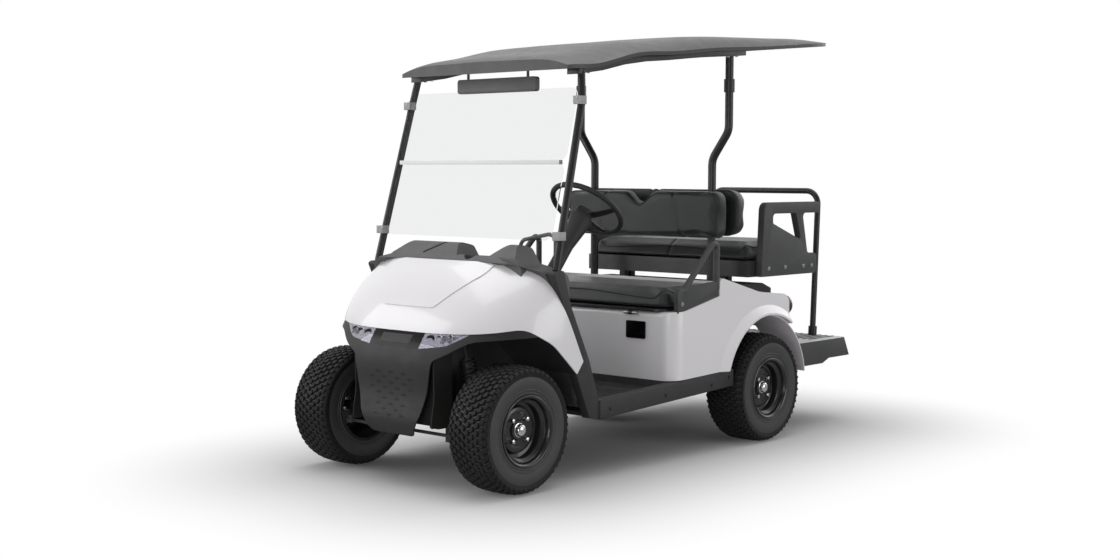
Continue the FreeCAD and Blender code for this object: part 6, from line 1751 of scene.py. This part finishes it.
@dataclass(frozen=True)
class Fastenings:
    """The bolts, clamps and rivets that hold the cart together.

    Attributes:
        rocker_spots: how far back and how high each head on a rocker sits.
        skirt_spots: the same on the seat's side skirts.
        armrest_spots: the same on the rear armrests.
        clip_heights: the heights of the windscreen's clips.
        beam_spots: how far back each bolt of a roof beam's end sits.
        bolt_turn: from bolt to bolt, how much farther its head is turned.
    """

    rocker_spots: Spots = ((-0.62, 0.285), (-0.24, 0.300), (0.101, 0.311), (0.235, 0.333))
    skirt_spots: Spots = ((-0.12, 0.690), (0.14, 0.705))
    armrest_spots: Spots = ((0.60, 0.815), (0.74, 0.815), (0.90, 0.815), (0.975, 0.815))
    clip_heights: tuple[float, float] = (1.027, 1.577)
    beam_spots: tuple[float, ...] = (-0.70, -0.66, 0.33, 0.40)
    bolt_turn: float = 0.4

    def build(self) -> None:
        """Seat every fastening."""
        clips = [(Vector((side * 0.505, -OUTSIDE, height + lift)), REAR)
                 for side in SIDES for height in self.clip_heights for lift in (-0.008, 0.008)]
        beams = [(Vector((side * 0.465, y, 0.0)), UP) for side in SIDES for y in self.beam_spots]
        skirts, armrests = self.from_sides(self.skirt_spots), self.from_sides(self.armrest_spots)
        self.seat("rocker_bolts", "rocker_panels", self.from_sides(self.rocker_spots),
                  button_head(0.008, 0.004), LINER)
        self.seat("clip_screws", "windscreen_fittings", clips, button_head(0.0042, 0.0025), STEEL)
        for name, node, lines in (("beam_bolts", "roof_beams", beams),
                                  ("skirt_bolts", "hip_restraints", skirts),
                                  ("armrest_bolts", "rear_armrests", armrests)):
            self.seat(name, node, lines, bolt_head(0.0075, 0.0055), STEEL)

    @staticmethod
    def from_sides(spots: Sequence[tuple[float, float]]) -> list[tuple[Vector, Vector]]:
        """Give the start and heading of a line from each side toward each spot."""
        return [(Vector((side * OUTSIDE, y, z)), LEFT * -side) for side in SIDES for y, z in spots]

    def seat(self, name: str, node: str, lines: Sequence[tuple[Vector, Vector]], head: Mesh,
             finish: Finish) -> None:
        """Seat a set of heads where lines meet a node.

        Args:
            name: the set's name.
            node: the node.
            lines: each line's start and heading.
            head: the mesh of one head.
            finish: its finish.
        """
        skin = Skin.of(node)
        hits = [skin.hit(start, heading) for start, heading in lines]
        seats = [(*hit, self.bolt_turn * i) for i, hit in enumerate(hits) if hit]
        REPEATS.on_places(name, seats, head, finish)


@dataclass(frozen=True)
class SoftEdges:
    """Rounds the sharp edges of a plain piece.

    Attributes:
        node: the node that it stands for.
        radius: the edges' radius.
        body: the body that it rides on.
        merge: corners closer than this are made one.
        flat: faces that meet at less than this many degrees are made one.
        sharp: edges past this many degrees are rounded.
        second: the finish of the faces that are picked out.
        chooses: tells by a face's middle and normal whether it is picked out.
    """

    node: str
    radius: float
    body: str = "cart"
    merge: float = 0.0004
    flat: float = 1.5
    sharp: float = 32.0
    second: Finish | None = None
    chooses: Callable[[Vector, Vector], bool] | None = None

    def build(self) -> None:
        """Make the rounded piece in the node's place."""
        name = f"{self.node}_softened"
        mesh = bpy.data.meshes.new(name)
        with opened(mesh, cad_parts[self.node].data) as form:
            bmesh.ops.remove_doubles(form, verts=form.verts, dist=self.merge)
            bmesh.ops.dissolve_degenerate(form, edges=form.edges, dist=self.merge)
            bmesh.ops.dissolve_limit(form, angle_limit=math.radians(self.flat), verts=form.verts,
                                     edges=form.edges)
        carrier = placed(name, mesh)
        bevel = carrier.modifiers.new("edges", "BEVEL")
        bevel.width = self.radius
        bevel.segments = 3
        bevel.limit_method = "ANGLE"
        bevel.angle_limit = math.radians(self.sharp)
        bevel.use_clamp_overlap = True
        bevel.miter_outer = "MITER_ARC"
        carrier.modifiers.new("normals", "WEIGHTED_NORMAL").keep_sharp = True
        made = frozen(carrier)
        fit(name, made, NODE_FINISHES[self.node], self.body, [self.node])
        if self.second:
            made.materials.append(PAINTSHOP.material(self.second))
            for face in made.polygons:
                face.material_index = int(self.chooses(face.center, face.normal))


SOFT_EDGES = (
    SoftEdges("rear_armrests", 0.007),
    SoftEdges("rocker_panels", 0.005),
    # Its up-facing faces take the paler deck finish: painted top light
    SoftEdges("foot_platform", 0.006, second=TOP_LIGHT_PAINTED_DECK, chooses=lambda place, normal: normal.z > 0.7),
    SoftEdges("hip_restraints", 0.003),
    SoftEdges("seat_board", 0.003, "front_seat"),
    SoftEdges("windscreen_fittings", 0.002, second=HINGE_STRIP,
              chooses=lambda place, normal: abs(place.x) < 0.46),
    SoftEdges("rear_liners", 0.001, second=INNER_PANEL, chooses=lambda place, normal: place.y > 0.56),
    SoftEdges("mirror_bar", 0.004),
    SoftEdges("roof_beams", 0.003),
    SoftEdges("dashboard", 0.004),
    SoftEdges("charge_port_cover", 0.002),
    SoftEdges("pillar_trims", 0.003),
)


@dataclass(frozen=True)
class Rear:
    """The foot platform's ribs and the tail lamps' housings.

    Attributes:
        rib_count: how many ribs there are.
        rib_pitch: from rib to rib.
        ring_depth: how far a housing's middle lies before its lamp's rearmost point.
    """

    rib_count: int = 25
    rib_pitch: float = 0.037
    ring_depth: float = 0.016

    def build(self) -> None:
        """Make the rear details."""
        self.platform_ribs()
        self.tail_housings()

    def platform_ribs(self) -> None:
        """Lay the grip ribs on the foot platform."""
        starts = [(-0.444 + self.rib_pitch * step, 1.21, 1.0) for step in range(self.rib_count)]
        rib = Blank().block((-0.006, -0.115, -0.001), (0.006, 0.115, 0.0025), 0.0018).mesh("platform_rib")
        REPEATS.on_places("platform_ribs", Skin.of("foot_platform").seats(starts, -UP), rib, PAD_RUBBER)

    def tail_housings(self) -> None:
        """Make the dark ring round each tail lamp."""
        low, high = box_of("tail_lamps")
        radius = (high.z - low.z) / 2
        blank = Blank()
        for side in SIDES:
            centre = Vector((side * (high.x - radius), high.y - self.ring_depth, (low.z + high.z) / 2))
            blank.spin([(radius * out, level) for out, level in LAMP_RING], centre, 40, 1.0, REAR)
        blank.fitted("tail_lamp_housings", TRIM)


@dataclass(frozen=True)
class Undercarriage:
    """The coils round the front spring legs.

    Attributes:
        foot: the left leg's foot.
        head: its head.
        coil: from the leg's axis to the wire's middle.
        wire: the wire's own radius.
        rounds: how many times it goes round.
        steps: how many pieces make one round.
        start: where the coil starts, as a share of the leg.
        reach: how much of the leg it covers.
    """

    foot: Triple = (0.242, -1.0925, 0.321)
    head: Triple = (0.194, -1.1145, 0.572)
    coil: float = 0.0300
    wire: float = 0.0048
    rounds: int = 9
    steps: int = 22
    start: float = 0.16
    reach: float = 0.56

    def build(self) -> None:
        """Wind a coil round each leg."""
        blank = Blank()
        count = self.rounds * self.steps
        for side in SIDES:
            mirror = Vector((side, 1.0, 1.0))
            foot, head = Vector(self.foot) * mirror, Vector(self.head) * mirror
            along = head - foot
            across = along.orthogonal().normalized()
            other = along.normalized().cross(across)
            path = []
            for step in range(count + 1):
                turn = 2 * math.pi * step / self.steps
                spoke = across * math.cos(turn) + other * math.sin(turn)
                path.append(foot + along * (self.start + self.reach * step / count) + spoke * self.coil)
            blank.sweep(path, self.wire)
        blank.fitted("front_coil_springs", POWDER)


@dataclass(frozen=True)
class Viewpoint:
    """The camera at the photograph's place.

    Attributes:
        place: where it stands.
        yaw: its turn to the left, in degrees.
        pitch: how far it looks down, in degrees.
        roll: how far it leans, in degrees.
        focal_pixels: its focal length in the photograph's pixels.
        sensor: its sensor's width in millimetres.
    """

    place: Triple = (4.5654, -5.4776, 1.2614)
    yaw: float = 41.43
    pitch: float = 4.0
    roll: float = 0.22
    focal_pixels: float = 1523.5
    sensor: float = 36.0

    def build(self) -> None:
        """Make the camera and look through it."""
        camera = bpy.data.cameras.new("camera")
        camera.sensor_width = self.sensor
        camera.lens = self.focal_pixels / PHOTO_WIDTH * self.sensor
        seat = placed("camera", camera)
        seat.matrix_world = Matrix.Translation(self.place)
        for degrees, axis in ((self.yaw, "Z"), (90 - self.pitch, "X"), (self.roll, "Z")):
            seat.matrix_world = seat.matrix_world @ Matrix.Rotation(math.radians(degrees), 4, axis)
        bpy.context.scene.camera = seat


@dataclass(frozen=True)
class Softbox:
    """One large soft lamp aimed at the cart, hidden from what clear sheets let through.

    Attributes:
        name: the lamp's name.
        place: where it hangs.
        size: the length of its sides.
        power: its power in watts.
        aim: the place that it is turned to.
    """

    name: str
    place: Triple
    size: float
    power: float
    aim: Triple = (0.0, 0.0, 0.8)

    def build(self) -> None:
        """Hang the lamp."""
        lamp = bpy.data.lights.new(self.name, "AREA")
        lamp.size = self.size
        lamp.energy = self.power
        seat = placed(self.name, lamp)
        seat.location = self.place
        seat.visible_transmission = False
        way = Vector(self.aim) - Vector(self.place)
        seat.rotation_euler = way.to_track_quat("-Z", "Y").to_euler()


@dataclass(frozen=True)
class Studio:
    """The pale floor, the even world and the soft lamps.

    Attributes:
        room_foot: how bright the mirrored room is at its dim end.
        bright_way: the way to its bright end.
        even_light: the strength of the light from all around.
        floor_mirrored: the share of the floor's glow that shiny surfaces mirror.
        floor_spread: the share of it that lights the cart.
        floor_grey: how pale the floor is under the cart.
        floor_reach: from the floor's middle to its sides.
        floor_levels: the heights of its top and its underside.
        shadow_half: half the size of the box round the cart where the floor doesn't glow, which leaves a
            painted shadow there.
        shadow_fade: from and to which distance past that place the glow grows.
        lamps: the soft lamps.
    """

    room_foot: float = 0.14
    bright_way: Triple = (-0.56, 0.64, 0.53)
    even_light: float = 0.44
    floor_mirrored: float = 0.25
    floor_spread: float = 0.5
    floor_grey: float = 0.52
    floor_reach: float = 30.0
    floor_levels: tuple[float, float] = (-0.0005, -0.02)
    shadow_half: Triple = (0.25, 1.05, 10.0)
    shadow_fade: tuple[float, float] = (0.06, 1.4)
    lamps: tuple[Softbox, ...] = (
        Softbox("overhead", (-0.4, -0.4, 5.4), 5.0, 165.0),
        Softbox("front_left", (-4.3, -4.9, 2.3), 3.8, 140.0),
        Softbox("front_right", (3.0, -6.2, 0.8), 3.0, 95.0, (0.5, 0.0, 0.5)),
        Softbox("side_right", (6.0, 1.8, 1.1), 3.6, 100.0, (0.0, 0.2, 0.5)),
        Softbox("rear_fill", (1.5, 5.6, 3.6), 4.0, 60.0),
    )

    def build(self) -> None:
        """Set up view, world, floor and lamps."""
        scene = bpy.context.scene
        scene.view_settings.view_transform = "Standard"
        self.world(scene)
        self.floor()
        for lamp in self.lamps:
            lamp.build()

    @staticmethod
    def seen_rays(tree: Tree, mirrored: Socket | float, spread: float) -> Socket:
        """Give each kind of ray its strength: one for straight rays and rays through glass.

        Args:
            tree: the tree.
            mirrored: the share that shiny surfaces mirror.
            spread: the share that dull surfaces are lit by.

        Returns:
            The strength's socket.
        """
        rays = add_node(tree, "ShaderNodeLightPath").outputs
        straight = worked(tree, "MAXIMUM", rays["Is Camera Ray"], rays["Is Transmission Ray"])
        mirror = worked(tree, "MULTIPLY", rays["Is Glossy Ray"], mirrored)
        dull = worked(tree, "MULTIPLY", rays["Is Diffuse Ray"], spread)
        return worked(tree, "MAXIMUM", worked(tree, "MAXIMUM", straight, mirror), dull)

    def room(self, tree: Tree) -> Socket:
        """Give the mirrored room: bright behind the cart and overhead, dim towards the camera.

        Args:
            tree: the world's tree.

        Returns:
            The brightness's socket.
        """
        way = add_node(tree, "ShaderNodeTexCoord").outputs["Generated"]
        facing = vector_node(tree, "DOT_PRODUCT", {0: way, 1: self.bright_way})
        climb = add_node(tree, "ShaderNodeMapRange", {
            "From Min": -0.15, "From Max": 0.85, "To Min": self.room_foot, "To Max": 1.0,
            "Value": facing.outputs["Value"]}, interpolation_type="SMOOTHSTEP")
        return climb.outputs["Result"]

    def glow_outside_painted_shadow(self, tree: Tree) -> Socket:
        """Give the floor's own glow, which is held off in a box round the cart as a painted shadow and grows
        to full white outside it.

        Args:
            tree: the floor's tree.

        Returns:
            The glow's socket.
        """
        places = add_node(tree, "ShaderNodeTexCoord").outputs["Object"]
        shape = vector_node(tree, "ABSOLUTE", {0: places})
        beyond = vector_node(tree, "SUBTRACT", {0: shape.outputs[0], 1: self.shadow_half})
        outside = vector_node(tree, "MAXIMUM", {0: beyond.outputs[0]})
        distance = vector_node(tree, "LENGTH", {0: outside.outputs[0]})
        near, far = self.shadow_fade
        grow = add_node(tree, "ShaderNodeMapRange", {
            "From Min": near, "From Max": far, "To Max": 1.0, "Value": distance.outputs["Value"]},
            interpolation_type="SMOOTHSTEP")
        return grow.outputs["Result"]

    def world(self, scene: bpy.types.Scene) -> None:
        """Light the scene evenly and show white behind it.

        Args:
            scene: the scene.
        """
        scene.world = bpy.data.worlds.new("studio")
        scene.world.use_nodes = True
        tree = scene.world.node_tree
        background = tree.nodes["Background"]
        feed(tree, background.inputs["Color"], WHITE)
        strength = self.seen_rays(tree, self.room(tree), self.even_light)
        feed(tree, background.inputs["Strength"], strength)

    def floor(self) -> None:
        """Lay the pale floor, which keeps the cart's shadow and is darker in a box round it: painted shadow.
        """
        reach = self.floor_reach
        square = ((-reach, -reach), (reach, -reach), (reach, reach), (-reach, reach))
        rings = [[Vector((x, y, level)) for x, y in square] for level in self.floor_levels]
        floor = placed("floor", Blank().loft(rings).mesh("floor"))
        material = bpy.data.materials.new("pale_floor")
        material.use_nodes = True
        tree = material.node_tree
        away = self.glow_outside_painted_shadow(tree)
        # Grey floor with no glow near the cart: painted shadow
        grey = worked(tree, "MULTIPLY_ADD", away, -self.floor_grey, self.floor_grey)
        tint = add_node(tree, "ShaderNodeCombineColor", {"Red": grey, "Green": grey, "Blue": grey})
        rays = self.seen_rays(tree, self.floor_mirrored, self.floor_spread)
        shader = tree.nodes["Principled BSDF"]
        for label, value in (("Roughness", 0.9), ("Specular IOR Level", 0.0), ("Emission Color", WHITE),
                             ("Base Color", tint.outputs[0]),
                             ("Emission Strength", worked(tree, "MULTIPLY", away, rays))):
            feed(tree, shader.inputs[label], value)
        floor.data.materials.append(material)


def dress_nodes() -> None:
    """Give every node that stays its finish."""
    for node, finish in NODE_FINISHES.items():
        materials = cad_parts[node].data.materials
        materials.clear()
        materials.append(PAINTSHOP.material(finish))


def main() -> None:
    """Build the cart's pieces in order."""
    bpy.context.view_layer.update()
    Viewpoint().build()
    Studio().build()
    dress_nodes()
    LOG.info("nodes dressed")
    for end in ("front", "rear"):
        for hand, side in (("left", 1.0), ("right", -1.0)):
            Wheel(f"{end}_{hand}", side).build()
            LOG.info("%s %s wheel built", end, hand)
    for edges in SOFT_EDGES:
        edges.build()
    LOG.info("edges rounded")
    for part in (Seats(), Nose(), SteeringWheel(), Cockpit(), Fastenings(), Rear(), Undercarriage()):
        part.build()
        LOG.info("%s built", type(part).__name__.lower())


if __name__ == "__main__":
    logging.basicConfig(level=logging.INFO, format="%(message)s")
    main()
